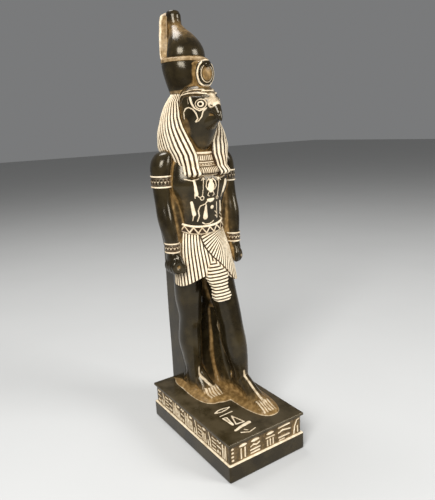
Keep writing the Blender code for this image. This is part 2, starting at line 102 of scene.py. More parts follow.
# The photograph's viewpoint.
CAMERA_PLACE = (-244.9, -376.7, 295.3)
CAMERA_TURN = math.radians(-33.141)
CAMERA_TILT = math.radians(13.728)
CAMERA_ROLL = math.radians(-2.726)
FOCAL_PIXELS = 504.957
IMAGE_HEIGHT = 500
SENSOR = 24.0


# Smooth forms


def signed_power(value, exponent):
    """A power that keeps its sign, which squares off an ellipse."""
    return np.sign(value) * np.abs(value) ** exponent


def eased(places, values, at):
    """A smooth run through a table of values, one row for each place."""
    gaps = np.diff(places)
    slopes = np.diff(values, axis=0) / gaps[:, None]
    tangents = np.empty_like(values)
    tangents[0], tangents[-1] = slopes[0], slopes[-1]
    weight = (gaps[1:] / (gaps[:-1] + gaps[1:]))[:, None]
    tangents[1:-1] = slopes[:-1] * weight + slopes[1:] * (1 - weight)
    tangents[1:-1][slopes[:-1] * slopes[1:] <= 0] = 0.0
    k = np.clip(np.searchsorted(places, at, side="right") - 1, 0, len(gaps) - 1)
    t = ((at - places[k]) / gaps[k])[:, None]
    gap = gaps[k][:, None]
    return (
        (1 + 2 * t) * (1 - t) ** 2 * values[k]
        + t * (1 - t) ** 2 * gap * tangents[k]
        + t * t * (3 - 2 * t) * values[k + 1]
        + t * t * (t - 1) * gap * tangents[k + 1]
    )


def read_off(places, table):
    """Values read off a table of (place, value) pairs."""
    return np.interp(places, *zip(*table))


def profile(rows, along):
    """The rows drawn out to along + 1 rings, at even steps of the form's own outline."""
    table = np.array(sorted(rows), float)
    fine = np.linspace(table[0, 0], table[-1, 0], PROFILE_STEPS)
    whole = np.column_stack([fine, eased(table[:, 0], table[:, 1:], fine)])
    run = np.concatenate([[0.0], np.cumsum(np.linalg.norm(np.diff(whole, axis=0), axis=1))])
    even = np.linspace(0, run[-1], along + 1)
    return np.column_stack([np.interp(even, run, column) for column in whole.T])


def even_turns(around, half_a, half_b, square):
    """Angles that step evenly round a squared ellipse, from its back, over its front, to its back."""
    turn = np.linspace(0, 2 * math.pi, TURN_STEPS)
    a = half_a * signed_power(np.sin(turn), 2 / square)
    b = half_b * signed_power(np.cos(turn), 2 / square)
    run = np.concatenate([[0.0], np.cumsum(np.hypot(np.diff(a), np.diff(b)))])
    return np.interp(np.linspace(0, run[-1], around + 1), run, turn)


def lofted(rows, around, along, square=2.0, axis="z"):
    """Points of a form through rows of (place, centre, centre, half size, half size).

    Along z the two ways are x and y, and along y they are x and z. The seam is at the back or below.
    """
    rings = profile(rows, along)
    middle = rings.mean(axis=0)
    turn = even_turns(around, middle[3], middle[4], square)
    place, first, second, half_first, half_second = (rings[:, k][:, None] for k in range(5))
    a = first + half_first * signed_power(np.sin(turn), 2 / square)
    b = second + half_second * signed_power(np.cos(turn), 2 / square)
    place = np.broadcast_to(place, a.shape)
    if axis == "z":
        return np.stack([a, b, place], axis=-1)
    return np.stack([a, place, 2 * second - b], axis=-1)


def outward(points):
    """Unit normals of a wrapped grid of points."""
    wide = np.concatenate([points[:, -2:-1], points, points[:, 1:2]], axis=1)
    normal = np.cross(wide[:, 2:] - wide[:, :-2], np.gradient(points, axis=0))
    normal /= np.linalg.norm(normal, axis=-1, keepdims=True) + 1e-9
    away = points - points[:, :-1].mean(axis=1, keepdims=True)
    return normal if (normal * away).sum() > 0 else -normal


def run_round(points):
    """How far each point lies round its ring from the front, in millimetres, less than 0 at -X."""
    steps = np.linalg.norm(np.diff(points, axis=1), axis=-1)
    run = np.concatenate([np.zeros((len(points), 1)), np.cumsum(steps, axis=1)], axis=1)
    run = run - run[:, run.shape[1] // 2][:, None]
    return run if points[0, points.shape[1] * 3 // 4, 0] > points[0, points.shape[1] // 4, 0] else -run


def close(bm):
    """Merge what coincides, fill what is open and turn every face outwards."""
    bmesh.ops.remove_doubles(bm, verts=bm.verts, dist=MERGE)
    open_edges = [edge for edge in bm.edges if edge.is_boundary]
    if open_edges:
        bmesh.ops.holes_fill(bm, edges=open_edges)
    bmesh.ops.recalc_face_normals(bm, faces=bm.faces)


def mesh_of(bm, name):
    """The mesh of a bmesh, which ends there."""
    mesh = bpy.data.meshes.new(name)
    bm.to_mesh(mesh)
    bm.free()
    return mesh


def placed(name, data):
    """An object of the data, in the scene."""
    made = bpy.data.objects.new(name, data)
    bpy.context.scene.collection.objects.link(made)
    return made


def finished(bm, name):
    """Close the mesh, turn it into metres and give it its object."""
    close(bm)
    bmesh.ops.scale(bm, vec=(MM, MM, MM), verts=bm.verts)
    mesh = mesh_of(bm, name)
    mesh.shade_smooth()
    return placed(name, mesh)


def wrapped(points, gilt=None, wash=None):
    """A bmesh grid bent round to the points, with the patina on its raised and its sunk places."""
    along, around = points.shape[0] - 1, points.shape[1] - 1
    bm = bmesh.new()
    bmesh.ops.create_grid(bm, x_segments=around, y_segments=along, size=0.5)
    pale, brown = bm.verts.layers.float.new("gilt"), bm.verts.layers.float.new("wash")
    places = points.tolist()
    none = np.zeros(points.shape[:2])
    pales = (none if gilt is None else gilt + none).tolist()
    browns = (none if wash is None else wash + none).tolist()
    for vert in bm.verts:
        i = round((vert.co.x + 0.5) * around)
        j = round((vert.co.y + 0.5) * along)
        vert.co = places[j][i]
        vert[pale], vert[brown] = pales[j][i], browns[j][i]
    return bm


def carved(name, points, carve=None):
    """A closed piece on a grid of points, cut by a function of the points and their run."""
    gilt, wash = None, None
    if carve:
        rise, gilt, wash = carve(points, run_round(points))
        points = points + outward(points) * (rise + np.zeros(points.shape[:2]))[..., None]
    return finished(wrapped(points, gilt, wash), name)


def joined(name, forms, cell):
    """Several forms cast into one skin, with the joints between them softened."""
    bm = bmesh.new()
    for form in forms:
        close(form)
        mesh = mesh_of(form, "form")
        bm.from_mesh(mesh)
        bpy.data.meshes.remove(mesh)
    bmesh.ops.scale(bm, vec=(MM, MM, MM), verts=bm.verts)
    made = placed(name, mesh_of(bm, name))
    skin = made.modifiers.new("skin", "REMESH")
    skin.mode = "VOXEL"
    skin.voxel_size = cell * MM
    soft = made.modifiers.new("soft", "SMOOTH")
    soft.factor = 0.5
    soft.iterations = SOFTENING
    graph = bpy.context.evaluated_depsgraph_get()
    made.data = bpy.data.meshes.new_from_object(made.evaluated_get(graph))
    made.modifiers.clear()
    made.data.name = name
    made.data.shade_smooth()
    return made


def numbers(items, name, width, kind=np.float32):
    """One property of all the items, a row for each."""
    values = np.empty(len(items) * width, kind)
    items.foreach_get(name, values)
    return values.reshape(-1, width)


def keep_numbers(mesh, name, values):
    """Write a number on each point of the mesh, under a name that the materials read."""
    if name in mesh.attributes:
        mesh.attributes.remove(mesh.attributes[name])
    attribute = mesh.attributes.new(name, "FLOAT", "POINT")
    attribute.data.foreach_set("value", values.astype(np.float32))


def engrave(made, carve):
    """Raise and sink a finished skin along its normals by a function of its points."""
    mesh = made.data
    place = numbers(mesh.vertices, "co", 3) / MM
    normal = numbers(mesh.vertex_normals, "vector", 3)
    rise, gilt, wash = carve(place)
    mesh.vertices.foreach_set("co", ((place + normal * rise[:, None]) * MM).ravel())
    keep_numbers(mesh, "gilt", gilt)
    keep_numbers(mesh, "wash", wash)
    mesh.update()


def mirrored(form):
    """The same form on the other side."""
    bmesh.ops.scale(form, vec=(-1, 1, 1), verts=form.verts)
    return form


# Marks on a form


def line(a, b, path, half, end_half=None, soft=0.3):
    """1 on a line through the path, from half to end_half wide on each side, and 0 away from it."""
    best = np.full(a.shape, -9.0)
    end_half = half if end_half is None else end_half
    spans = len(path) - 1
    for k in range(spans):
        (a0, b0), (a1, b1) = path[k], path[k + 1]
        da, db = a1 - a0, b1 - b0
        t = np.clip(((a - a0) * da + (b - b0) * db) / (da * da + db * db + 1e-9), 0, 1)
        wide = half + (end_half - half) * (k + t) / spans
        best = np.maximum(best, wide - np.hypot(a - a0 - t * da, b - b0 - t * db))
    return np.clip(best / (2 * soft) + 0.5, 0, 1)


def strokes(a, b, rows):
    """The lines of all the rows, each row half its width at its start and its end, then its points."""
    return np.maximum.reduce([line(a, b, path, start, end) for start, end, *path in rows])


def oval(a, b, centre_a, centre_b, half_a, half_b, soft=0.3):
    """1 inside an ellipse."""
    reach = np.hypot((a - centre_a) / half_a, (b - centre_b) / half_b)
    return np.clip((1 - reach) * min(half_a, half_b) / (2 * soft) + 0.5, 0, 1)


def ring(a, b, centre_a, centre_b, radius, half, soft=0.3):
    """1 on a circle's line."""
    reach = np.abs(np.hypot(a - centre_a, b - centre_b) - radius)
    return np.clip((half - reach) / (2 * soft) + 0.5, 0, 1)


def between(value, low, high, soft=0.3):
    """1 from low to high."""
    return np.clip(np.minimum(value - low, high - value) / (2 * soft) + 0.5, 0, 1)


def ridged(phase, sharp=0.9):
    """Rounded ridges with a groove at each whole phase: 1 on the ridge, 0 in the groove."""
    wave = np.abs(np.sin(math.pi * phase))
    return np.clip(wave / sharp, 0, 1)


def crested(ridge, low=0.5, high=0.85):
    """How much of a ridge the pale patina covers: its crest, and nothing of its groove."""
    return np.clip((ridge - low) / (high - low), 0, 1)


def side_below(a, b, path):
    """How far points lie to the right of a path that runs down, less than 0 on its left."""
    levels = np.array([p[1] for p in path[::-1]])
    reach = np.array([p[0] for p in path[::-1]])
    return a - np.interp(b, levels, reach)


# Plinth


def rectangle(half_x, half_y, corner, around):
    """Points round a rectangle with softened corners."""
    share = np.linspace(0, 1, around + 1)
    straight_x, straight_y = 2 * (half_x - corner), 2 * (half_y - corner)
    arc = math.pi * corner / 2
    pieces = [straight_x / 2, arc, straight_y, arc, straight_x, arc, straight_y, arc, straight_x / 2]
    ends = np.concatenate([[0.0], np.cumsum(pieces)])
    run = share * ends[-1]
    x, y = np.zeros_like(run), np.zeros_like(run)
    at_x, at_y, heading = 0.0, half_y, 0.0
    for k, length in enumerate(pieces):
        here = (run >= ends[k]) & (run <= ends[k + 1])
        t = run[here] - ends[k]
        if k % 2 == 0:
            x[here] = at_x + t * math.cos(heading)
            y[here] = at_y - t * math.sin(heading)
            at_x += length * math.cos(heading)
            at_y -= length * math.sin(heading)
        else:
            turn = t / corner
            x[here] = at_x + corner * (np.sin(heading + turn) - math.sin(heading))
            y[here] = at_y - corner * (math.cos(heading) - np.cos(heading + turn))
            at_x += corner * (math.sin(heading + math.pi / 2) - math.sin(heading))
            at_y -= corner * (math.cos(heading) - math.cos(heading + math.pi / 2))
            heading += math.pi / 2
    return x, y


def side_strokes(run, level):
    """The long faces' plain strokes: uprights, slants, bars and lozenges that are no letters."""
    low, high = LEDGE + 2.6, BAND_TOP - 1.8
    middle = (low + high) / 2
    rows, rounds = [], []
    for i in range(16):
        at = (i - 7.5) * SIGN_PITCH
        kind = (i * 3 + i // 5) % 5
        if kind == 0:
            rows += [
                (0.75, 0.75, (at - 2.6, low), (at - 2.2, high - 0.6)),
                (0.6, 0.6, (at - 0.2, low), (at, high - 3.8)),
                (0.75, 0.75, (at + 2.2, low), (at + 2.4, high - 1.6)),
            ]
        elif kind == 1:
            for bar in (low + 0.4 + k * 3.5 for k in range(4)):
                rows.append((0.65, 0.65, (at - 2.8, bar), (at + 2.8, bar)))
        elif kind == 2:
            for foot in (at - 2.8 + k * 2.6 for k in range(3)):
                rows.append((0.65, 0.65, (foot, low), (foot + 1.4, middle + 1.4)))
            rounds.append(oval(run, level, at + 0.4, high - 1.6, 3.0, 1.2))
        elif kind == 3:
            tops = (high - 0.8, high - 2.4, high - 0.8, high - 2.2)
            rows.append((0.65, 0.65, *zip((at - 3.0, at - 1.0, at + 1.2, at + 3.0), tops)))
            rows.append((0.65, 0.65, (at - 3.0, middle), (at + 3.0, middle + 0.4)))
            rounds.append(oval(run, level, at - 1.6, low + 1.8, 1.1, 1.8))
            rounds.append(oval(run, level, at + 1.8, low + 1.8, 1.1, 1.8))
        else:
            rows.append((0.8, 0.5, (at - 2.4, low), (at - 1.6, middle), (at + 0.4, high - 0.4)))
            rows.append((0.9, 0.4, (at + 1.0, low), (at + 2.2, low + 5.0)))
    return np.maximum.reduce([strokes(run, level, rows), *rounds])


def end_strokes(run, level):
    """The short faces' groups: a column of dots, lozenges over bars and uprights, and a tall curve."""
    low, high = LEDGE + 2.6, BAND_TOP - 1.8
    middle = (low + high) / 2
    rows = [
        (0.8, 0.8, (-28.8, low), (-28.8, middle + 2.4)),
        (0.8, 0.8, (-24.6, low), (-24.6, middle + 2.4)),
        (0.75, 0.75, (-18.6, middle), (-15.6, middle + 1.4), (-12.2, middle), (-8.8, middle + 1.4)),
        (0.75, 0.75, (-18.8, middle - 3.4), (-8.6, middle - 3.2)),
        (0.75, 0.75, (-18.6, low + 0.4), (-9.0, low + 0.6)),
        (0.65, 0.65, (-1.6, middle + 0.8), (8.0, middle + 0.8)),
        (0.8, 0.8, (0.0, low), (0.0, middle - 1.4)),
        (0.8, 0.8, (3.2, low), (3.2, middle - 1.4)),
        (0.8, 0.8, (6.4, low), (6.4, middle - 1.4)),
        (0.7, 0.7, (12.6, high - 1.4), (26.0, high - 1.0)),
        (0.75, 0.75, (12.6, middle + 0.6), (17.6, middle + 2.0), (26.4, middle + 0.4)),
        (0.7, 0.7, (12.8, low + 2.6), (25.6, low + 2.4)),
        (0.65, 0.65, (13.4, low - 0.4), (19.6, low - 0.4)),
        (0.8, 0.5, (31.0, low), (31.8, middle), (34.4, high - 1.4), (37.6, high - 0.6)),
        (0.7, 0.7, (35.6, low), (35.4, middle - 0.6)),
    ]
    rounds = [oval(run, level, -37.6, low + 1.4 + 3.6 * k, 1.5, 1.1) for k in range(4)]
    rounds += [
        oval(run, level, -26.6, high - 1.6, 4.6, 1.3),
        oval(run, level, -13.4, high - 1.8, 4.8, 1.4),
        oval(run, level, 3.2, high - 2.2, 4.6, 1.2),
    ]
    return np.maximum.reduce([strokes(run, level, rows), *rounds])


def plinth_sides():
    """The lower slab, the ledge and the band of relief, as one wall round the plinth."""
    levels = [
        (0.0, 2.0),
        (0.0, 0.9),
        (0.35, 0.35),
        (1.0, 0.0),
        *((level, 0.0) for level in np.linspace(2.0, 15.0, 4)),
        (15.6, 0.0),
        (16.2, 0.15),
        (LEDGE, 0.5),
        (LEDGE + 0.1, 1.2),
        *((level, BAND_GROUND) for level in np.linspace(LEDGE + 0.5, BAND_TOP - 0.1, 30)),
        (BAND_TOP + 0.1, 1.4),
        (BAND_TOP + 0.3, 4.0),
    ]
    around = 700
    x, y = rectangle(PLINTH_WIDTH / 2, PLINTH_DEPTH / 2, 1.4, around)
    grids = []
    for level, inset in levels:
        shrink_x = 1 - 2 * inset / PLINTH_WIDTH
        shrink_y = 1 - 2 * inset / PLINTH_DEPTH
        grids.append(np.column_stack([x * shrink_x, y * shrink_y, np.full_like(x, level)]))
    points = np.stack(grids)
    across, deep, level = points[..., 0], points[..., 1], points[..., 2]
    on_side = np.abs(across) > PLINTH_WIDTH / 2 - BAND_GROUND - 0.6
    mask = np.where(on_side, side_strokes(deep, level), end_strokes(across, level))
    in_band = between(level, LEDGE + 1.6, BAND_TOP - 0.9)
    mask = mask * in_band
    ledge = between(level, LEDGE - 0.4, LEDGE + 0.5, 0.2)
    gilt = np.maximum(mask * 0.9, ledge * 0.9)
    gilt = np.maximum(gilt, between(level, BAND_TOP - 1.3, BAND_TOP - 0.6) * 0.42)
    wash = between(level, LEDGE + 0.6, BAND_TOP - 1.2) * 0.55
    points = points + outward(points) * (mask * 1.05)[..., None]
    return finished(wrapped(points, gilt, wash), "plinth_sides")


def top_marks(x, y):
    """The short column of plain shapes on the plinth's top: lozenge, bar, wedge, triangle, leaf and arc."""
    rows = [
        (0.7, 0.7, (-24, -20.6), (-19, -18.4), (-13, -18.6), (-7, -20)),
        (0.7, 0.7, (-24, -20.6), (-18, -22.6), (-12, -21.8), (-7, -20)),
        (0.6, 0.6, (-23, -27.8), (-9, -27.4)),
        (0.7, 0.7, (-22.8, -32.0), (-21.8, -46.0)),
        (0.6, 0.6, (-22.8, -32.0), (-19.2, -33.0), (-20.8, -46.0)),
        (0.65, 0.65, (-14.1, -33.4), (-18.4, -46.6), (-10.2, -47.6), (-14.1, -33.4)),
        (1.3, 2.0, (-24.4, -54.2), (-16, -52.0), (-7.4, -51.0)),
        (0.7, 0.5, (-22.4, -59.4), (-16, -63.2), (-8, -61.2)),
        (0.6, 0.6, (-17.6, -57.4), (-15.4, -60.0)),
        (0.5, 0.5, (-15.8, -36.8), (-12.6, -37.0)),
    ]
    rows += [(0.4, 0.4, (-22.4, -34.5 - 2.3 * k), (-20.2, -35.1 - 2.3 * k)) for k in range(5)]
    return strokes(x, y, rows)


def plinth_top():
    """The top slab with its softened edge and its marks."""
    bm = bmesh.new()
    half_x, half_y = PLINTH_WIDTH / 2 - 0.3, PLINTH_DEPTH / 2 - 0.3
    bmesh.ops.create_grid(bm, x_segments=120, y_segments=192, size=1.0)
    layer = bm.verts.layers.float.new("gilt")
    edge = 3.2
    x = np.array([vert.co.x for vert in bm.verts]) * (half_x + edge)
    y = np.array([vert.co.y for vert in bm.verts]) * (half_y + edge)
    mask = top_marks(x, y)
    over = np.maximum(np.maximum(np.abs(x) - half_x, np.abs(y) - half_y), 0)
    dulled = np.maximum(np.abs(x) - half_x, np.abs(y) - half_y)
    flat_x = np.clip(x, -half_x, half_x)
    flat_y = np.clip(y, -half_y, half_y)
    soft = np.clip(dulled + 0.9, 0, None)
    level = PLINTH_TOP - 0.25 * np.clip(soft, 0, 1.2) ** 2 - over + mask * 0.35
    level = np.maximum(level, BAND_TOP)
    # A painted highlight along the softened edge of the top slab, stronger and weaker along it.
    edge_highlight = between(dulled, -0.5, 0.45, 0.25) * (0.5 + 0.3 * np.sin(0.21 * x + 0.13 * y))
    for k, vert in enumerate(bm.verts):
        vert.co = (flat_x[k], flat_y[k], level[k])
        vert[layer] = max(mask[k], edge_highlight[k] * 0.55)
    return finished(bm, "plinth_top")


# Legs, feet, ground


def leg_forms():
    """Both legs."""
    standing = [
        (34.0, -14.0, 32.0, 7.0, 11.0),
        (46.0, -14.0, 31.5, 6.6, 9.8),
        (58.0, -14.0, 31.0, 7.0, 9.0),
        (74.0, -14.4, 32.0, 8.8, 11.0),
        (92.0, -15.0, 33.0, 10.6, 13.0),
        (106.0, -15.0, 31.6, 10.2, 12.2),
        (116.0, -14.6, 30.0, 10.6, 12.4),
        (134.0, -15.0, 30.6, 12.4, 14.4),
        (162.0, -14.0, 31.0, 13.0, 15.0),
    ]
    leading = [
        (34.0, 18.6, -1.0, 6.8, 10.5),
        (46.0, 18.6, -2.0, 6.6, 9.4),
        (58.0, 18.4, -3.6, 7.0, 9.4),
        (74.0, 18.0, 0.0, 9.0, 13.0),
        (92.0, 17.6, 4.4, 10.6, 15.4),
        (106.0, 17.2, 7.0, 10.2, 14.6),
        (118.0, 16.8, 10.6, 11.2, 15.0),
        (138.0, 15.6, 17.0, 12.2, 16.6),
        (162.0, 14.4, 22.0, 12.4, 16.4),
    ]
    return [wrapped(lofted(rows, 60, 90, 2.1)) for rows in (standing, leading)]


def foot_forms(side, toe_middle, heel_middle, toe, heel, lift):
    """One bare foot: its arch, ankle and five toes."""
    sole = PLINTH_TOP - 1.0
    outline = [
        (0.04, 4.6, 4.4),
        (0.10, 7.4, 6.6),
        (0.22, 8.2, 9.8),
        (0.36, 7.8, 14.4),
        (0.50, 7.2, 20.2),
        (0.64, 6.8, 24.6),
        (0.80, 6.8, 24.0),
        (0.95, 6.0, 14.0),
        (1.00, 3.6, 8.0),
    ]
    rows = []
    for share, half_width, rise in outline:
        middle = toe_middle + (heel_middle - toe_middle) * share
        rise *= lift
        rows.append((toe + (heel - toe) * share, middle, sole + rise / 2, half_width, rise / 2))
    forms = [wrapped(lofted(rows, 48, 70, 1.9, axis="y"))]
    for i in range(5):
        radius = 2.3 - 0.2 * i
        across = toe_middle + side * (-6.2 + TOE_PITCH * i)
        tip = toe - 3.4 + 0.95 * i + (0.6 if i == 0 else 0.0)
        toes = [
            (tip - 0.6, across, PLINTH_TOP + 1.4, 0.3, 0.3),
            (tip - 0.2, across, PLINTH_TOP + 1.6, radius * 0.7, radius * 0.7),
            (tip + 1.0, across, PLINTH_TOP + 2.0, radius * 0.95, radius * 1.05),
            (tip + 3.4, across, PLINTH_TOP + 2.8, radius * 0.9, radius * 1.1),
            (tip + 7.0, across, PLINTH_TOP + 4.2, radius * 0.85, radius * 1.3),
            (tip + 13.0, across, PLINTH_TOP + 6.0, radius * 0.7, radius * 1.0),
        ]
        forms.append(wrapped(lofted(toes, 20, 28, 2.0, axis="y")))
    return forms


def toe_gaps(x, y, z, side, middle, toe):
    """Where one foot's toes are, and the dark gaps between them."""
    over = between(z, PLINTH_TOP + 1.2, PLINTH_TOP + 8.5) * between(y, toe - 6, toe + 9.5, 1.5)
    place = (side * (x - middle) + 6.2) / TOE_PITCH
    on_foot = between(place, -0.75, 4.7, 0.1)
    gap = 1 - np.clip(np.abs(np.sin(math.pi * (place + 0.5))) / 0.55, 0, 1)
    return over * on_foot, gap


def ground_forms():
    """The stone left round the feet, between the legs and against the pillar."""
    skirts = [
        (-9.6, 24.0, 15.4, 31.0, 3.4),
        (18.6, -6.0, 17.0, 50.0, 3.2),
        (0.5, 6.0, 15.0, 16.0, 3.0),
        (0.0, 45.0, 24.5, 23.4, 4.6),
    ]
    forms = []
    for centre_x, centre_y, half_x, half_y, rise in skirts:
        rows = [
            (PLINTH_TOP - 1.5, centre_x, centre_y, half_x, half_y),
            (PLINTH_TOP + 0.3, centre_x, centre_y, half_x, half_y),
            (PLINTH_TOP + 1.4, centre_x, centre_y, half_x - 1.4, half_y - 1.6),
            (PLINTH_TOP + rise, centre_x, centre_y, half_x - 5.5, half_y - 7.0),
        ]
        forms.append(wrapped(lofted(rows, 80, 16, 2.5)))
    between_legs = [
        (PLINTH_TOP - 1.5, 2.0, 34.0, 16.0, 17.0),
        (44.0, 2.0, 36.0, 13.0, 12.0),
        (56.0, 1.5, 38.5, 12.5, 9.0),
        (90.0, 1.0, 39.0, 14.0, 7.5),
        (157.0, 0.0, 36.5, 15.5, 7.5),
    ]
    behind_shin = [
        (PLINTH_TOP - 1.5, 15.5, 20.0, 7.0, 24.0),
        (50.0, 15.0, 24.0, 4.4, 20.0),
        (70.0, 14.5, 28.0, 4.4, 15.0),
        (120.0, 14.0, 30.0, 6.0, 10.0),
    ]
    forms.append(wrapped(lofted(between_legs, 60, 70, 3.0)))
    forms.append(wrapped(lofted(behind_shin, 60, 60, 2.6)))
    return forms


def legs():
    """Legs, feet and the ground under them as one skin."""
    forms = leg_forms() + ground_forms()
    forms += foot_forms(*RIGHT_FOOT) + foot_forms(*LEFT_FOOT)
    made = joined("legs_and_ground", forms, LEGS_CELL)

    def carve(place):
        x, y, z = place.T
        rim = between(z, PLINTH_TOP - 0.6, PLINTH_TOP + 0.9, 0.5)
        # A raised ridge on the inner side of the leading leg, with a painted highlight along it.
        shin = [(17.6, 121), (20.9, 103), (18.0, 92), (9.5, 84), (3.2, 75), (0.8, 64), (0.9, 50)]
        ridge_and_highlight = line(y, z, shin, 0.5) * between(x, 4.0, 14.0)
        gilt = np.maximum(0.6 * rim, 0.5 * ridge_and_highlight)
        rise = ridge_and_highlight * 0.4
        for side, middle, _heel_middle, toe, _heel, _lift in (RIGHT_FOOT, LEFT_FOOT):
            toes, gap = toe_gaps(x, y, z, side, middle, toe)
            # The toes take cream that is worn patina and painted highlight together, and none in the gaps
            # between them.
            gilt = np.maximum(gilt, toes * (1 - gap) * 0.62) * (1 - toes * gap)
            rise = rise - toes * gap * 0.8
        # A painted highlight along the ridge of each instep.
        for ridge in ([(-13.8, 23), (-6.6, 11)], [(16.6, -9), (19.2, -43)]):
            instep_highlight = line(x, y, ridge, 1.2, 1.9, 0.6) * between(z, PLINTH_TOP + 5, 66, 2.0)
            gilt = np.maximum(gilt, instep_highlight * 0.62)
        wash = 0.62 * np.clip((PLINTH_TOP + 12.0 - z) / 9.0, 0, 1) + 0.30 * np.clip((105 - z) / 70.0, 0, 1)
        wash = wash + 0.28 * np.clip((x - 14) / 14, 0, 1) * between(z, 60, 160, 12.0)
        return rise, gilt, wash

    engrave(made, carve)
    return made


def pillar():
    """The back pillar with softened edges."""
    x, y = rectangle(PILLAR_HALF_X, PILLAR_HALF_Y, 1.6, 160)
    levels = [(35.0, 0.0), *((level, 0.0) for level in np.linspace(40, PILLAR_TOP - 1.5, 48))]
    levels += [(PILLAR_TOP - 0.5, 0.4), (PILLAR_TOP, 1.4), (PILLAR_TOP + 0.05, 6.0)]
    grids = []
    for level, inset in levels:
        wander = 0.12 * np.sin(0.07 * level) - 0.12
        grids.append(
            np.column_stack(
                [
                    x * (1 - (inset - wander) / PILLAR_HALF_X),
                    PILLAR_CENTRE + y * (1 - inset / PILLAR_HALF_Y),
                    np.full_like(x, level),
                ]
            )
        )
    return carved("back_pillar", np.stack(grids))


# Torso and arms


def chest_relief(x, z):
    """Plumes, staffs, a beetle, a bowl and a disc, in two rows, as plain shapes."""
    rows = [
        (0.8, 1.7, (-14.6, 249.5), (-12.6, 237.2)),
        (0.6, 0.4, (-13.9, 237.0), (-13.6, 233.6)),
        (0.4, 0.4, (-11.6, 236.0), (-9.8, 234.2)),
        (0.42, 0.42, (-5.7, 251.4), (-7.0, 235.4)),
        (0.4, 0.4, (-7.8, 249.2), (-5.7, 251.8), (-4.0, 249.4)),
        (0.5, 0.5, (-1.6, 240.6), (-3.4, 243.6), (-2.8, 247.6), (0.2, 250.2)),
        (0.5, 0.5, (5.8, 240.6), (7.4, 243.6), (6.6, 247.6), (4.0, 250.2)),
        (0.42, 0.42, (-0.4, 238.4), (-1.6, 235.6), (0.2, 234.6)),
        (0.42, 0.42, (4.2, 238.4), (5.4, 235.6), (3.8, 234.6)),
        (0.42, 0.42, (10.7, 250.2), (9.3, 234.4)),
        (0.4, 0.4, (8.6, 248.0), (10.7, 250.6), (12.8, 248.2)),
        (2.2, 1.4, (20.2, 246.4), (16.4, 237.0)),
        (0.4, 0.4, (15.4, 236.6), (14.3, 232.4)),
        (1.1, 1.7, (-16.2, 230.2), (-13.0, 218.6)),
        (0.7, 0.4, (-13.4, 218.2), (-14.0, 212.8)),
        (0.55, 0.55, (-1.6, 230.2), (-3.4, 227.8), (-8.4, 226.2), (-9.7, 222.2), (-8.4, 216.6), (-9.8, 211.8)),
        (0.8, 2.5, (-2.6, 226.4), (-2.2, 215.2)),
        (0.55, 0.55, (-4.9, 210.0), (-2.0, 208.2), (2.4, 208.0), (5.2, 209.0), (7.4, 210.4)),
        (0.45, 0.45, (9.0, 228.0), (11.8, 212.4)),
        (0.45, 0.45, (8.2, 219.6), (10.6, 217.2)),
        (0.45, 0.45, (8.6, 215.6), (11.4, 213.6)),
        (0.8, 1.5, (13.6, 228.4), (16.6, 218.6)),
        (0.55, 0.55, (15.4, 216.6), (20.4, 212.8)),
        (0.5, 0.5, (16.4, 212.6), (20.6, 208.8)),
    ]
    rounds = [
        ring(x, z, -7.1, 233.4, 1.7, 0.45),
        oval(x, z, 2.0, 242.6, 3.5, 5.0),
        oval(x, z, 2.1, 248.2, 2.0, 1.7),
        oval(x, z, 1.8, 232.6, 4.3, 3.8) * between(z, 226.0, 232.4),
        ring(x, z, 9.2, 232.4, 1.2, 0.4),
        oval(x, z, 4.3, 223.8, 1.9, 1.9),
    ]
    return np.maximum.reduce([strokes(x, z, rows), *rounds])


def torso():
    """Chest to hips, with the relief on its front."""
    rows = [
        (190.0, 0, 31.5, 24.6, 16.6),
        (205.0, 0, 31.0, 23.2, 16.4),
        (218.0, 0, 31.0, 23.4, 18.6),
        (232.0, 0, 31.0, 25.8, 22.4),
        (246.0, 0, 31.5, 31.0, 24.0),
        (256.0, 0, 32.5, 29.6, 23.6),
        (265.0, 0, 33.5, 27.0, 22.4),
        (273.0, 0, 34.0, 23.0, 19.6),
        (282.0, 0, 34.5, 16.0, 14.0),
    ]

    def carve(points, run):
        x, y, z = points[..., 0], points[..., 1], points[..., 2]
        front = between(y, -10, 27, 2.0)
        mask = chest_relief(x, z) * front
        # A painted highlight along the upper edges of the chest, just under the wig.
        pectoral_highlight = line(x, z, [(-22, 251.4), (-16, 249.6), (-10, 250.8)], 0.5)
        pectoral_highlight = np.maximum(pectoral_highlight, line(x, z, [(7, 251.2), (12, 249.8), (20, 251.2)], 0.5)) * front
        chest = np.exp(-(((np.abs(x) - 12) / 11) ** 2) - ((z - 248) / 8) ** 2) * front
        navel = np.exp(-((x / 9) ** 2) - ((z - 214) / 7) ** 2) * front
        rise = mask * 0.6 + chest * 1.0 + navel * 0.4
        flank = np.clip((np.abs(x) - 13) / 8, 0, 1) * between(z, 200, 240, 10.0)
        return rise, np.maximum(mask, pectoral_highlight * 0.8), 0.34 * flank

    return carved("torso", lofted(rows, 250, 136, 2.4), carve)


def finger_ring(y, side, size):
    """One finger of a fist, curled round the hollow of the hand."""
    form = bmesh.new()
    made = bmesh.ops.create_circle(form, segments=14, radius=2.5)["verts"]
    bmesh.ops.translate(form, vec=(3.9 * size, 0, 0), verts=made)
    bmesh.ops.spin(
        form,
        geom=form.verts[:] + form.edges[:],
        cent=(0, 0, 0),
        axis=(0, 1, 0),
        angle=2 * math.pi,
        steps=24,
        use_merge=True,
    )
    wide = 1.12 if side < 0 else 0.92
    bmesh.ops.scale(form, vec=(wide, 1.0, 1.25), verts=form.verts)
    bmesh.ops.translate(form, vec=(side * (26.2 + 7 * wide + (1 - size)), y, 173.4), verts=form.verts)
    return form


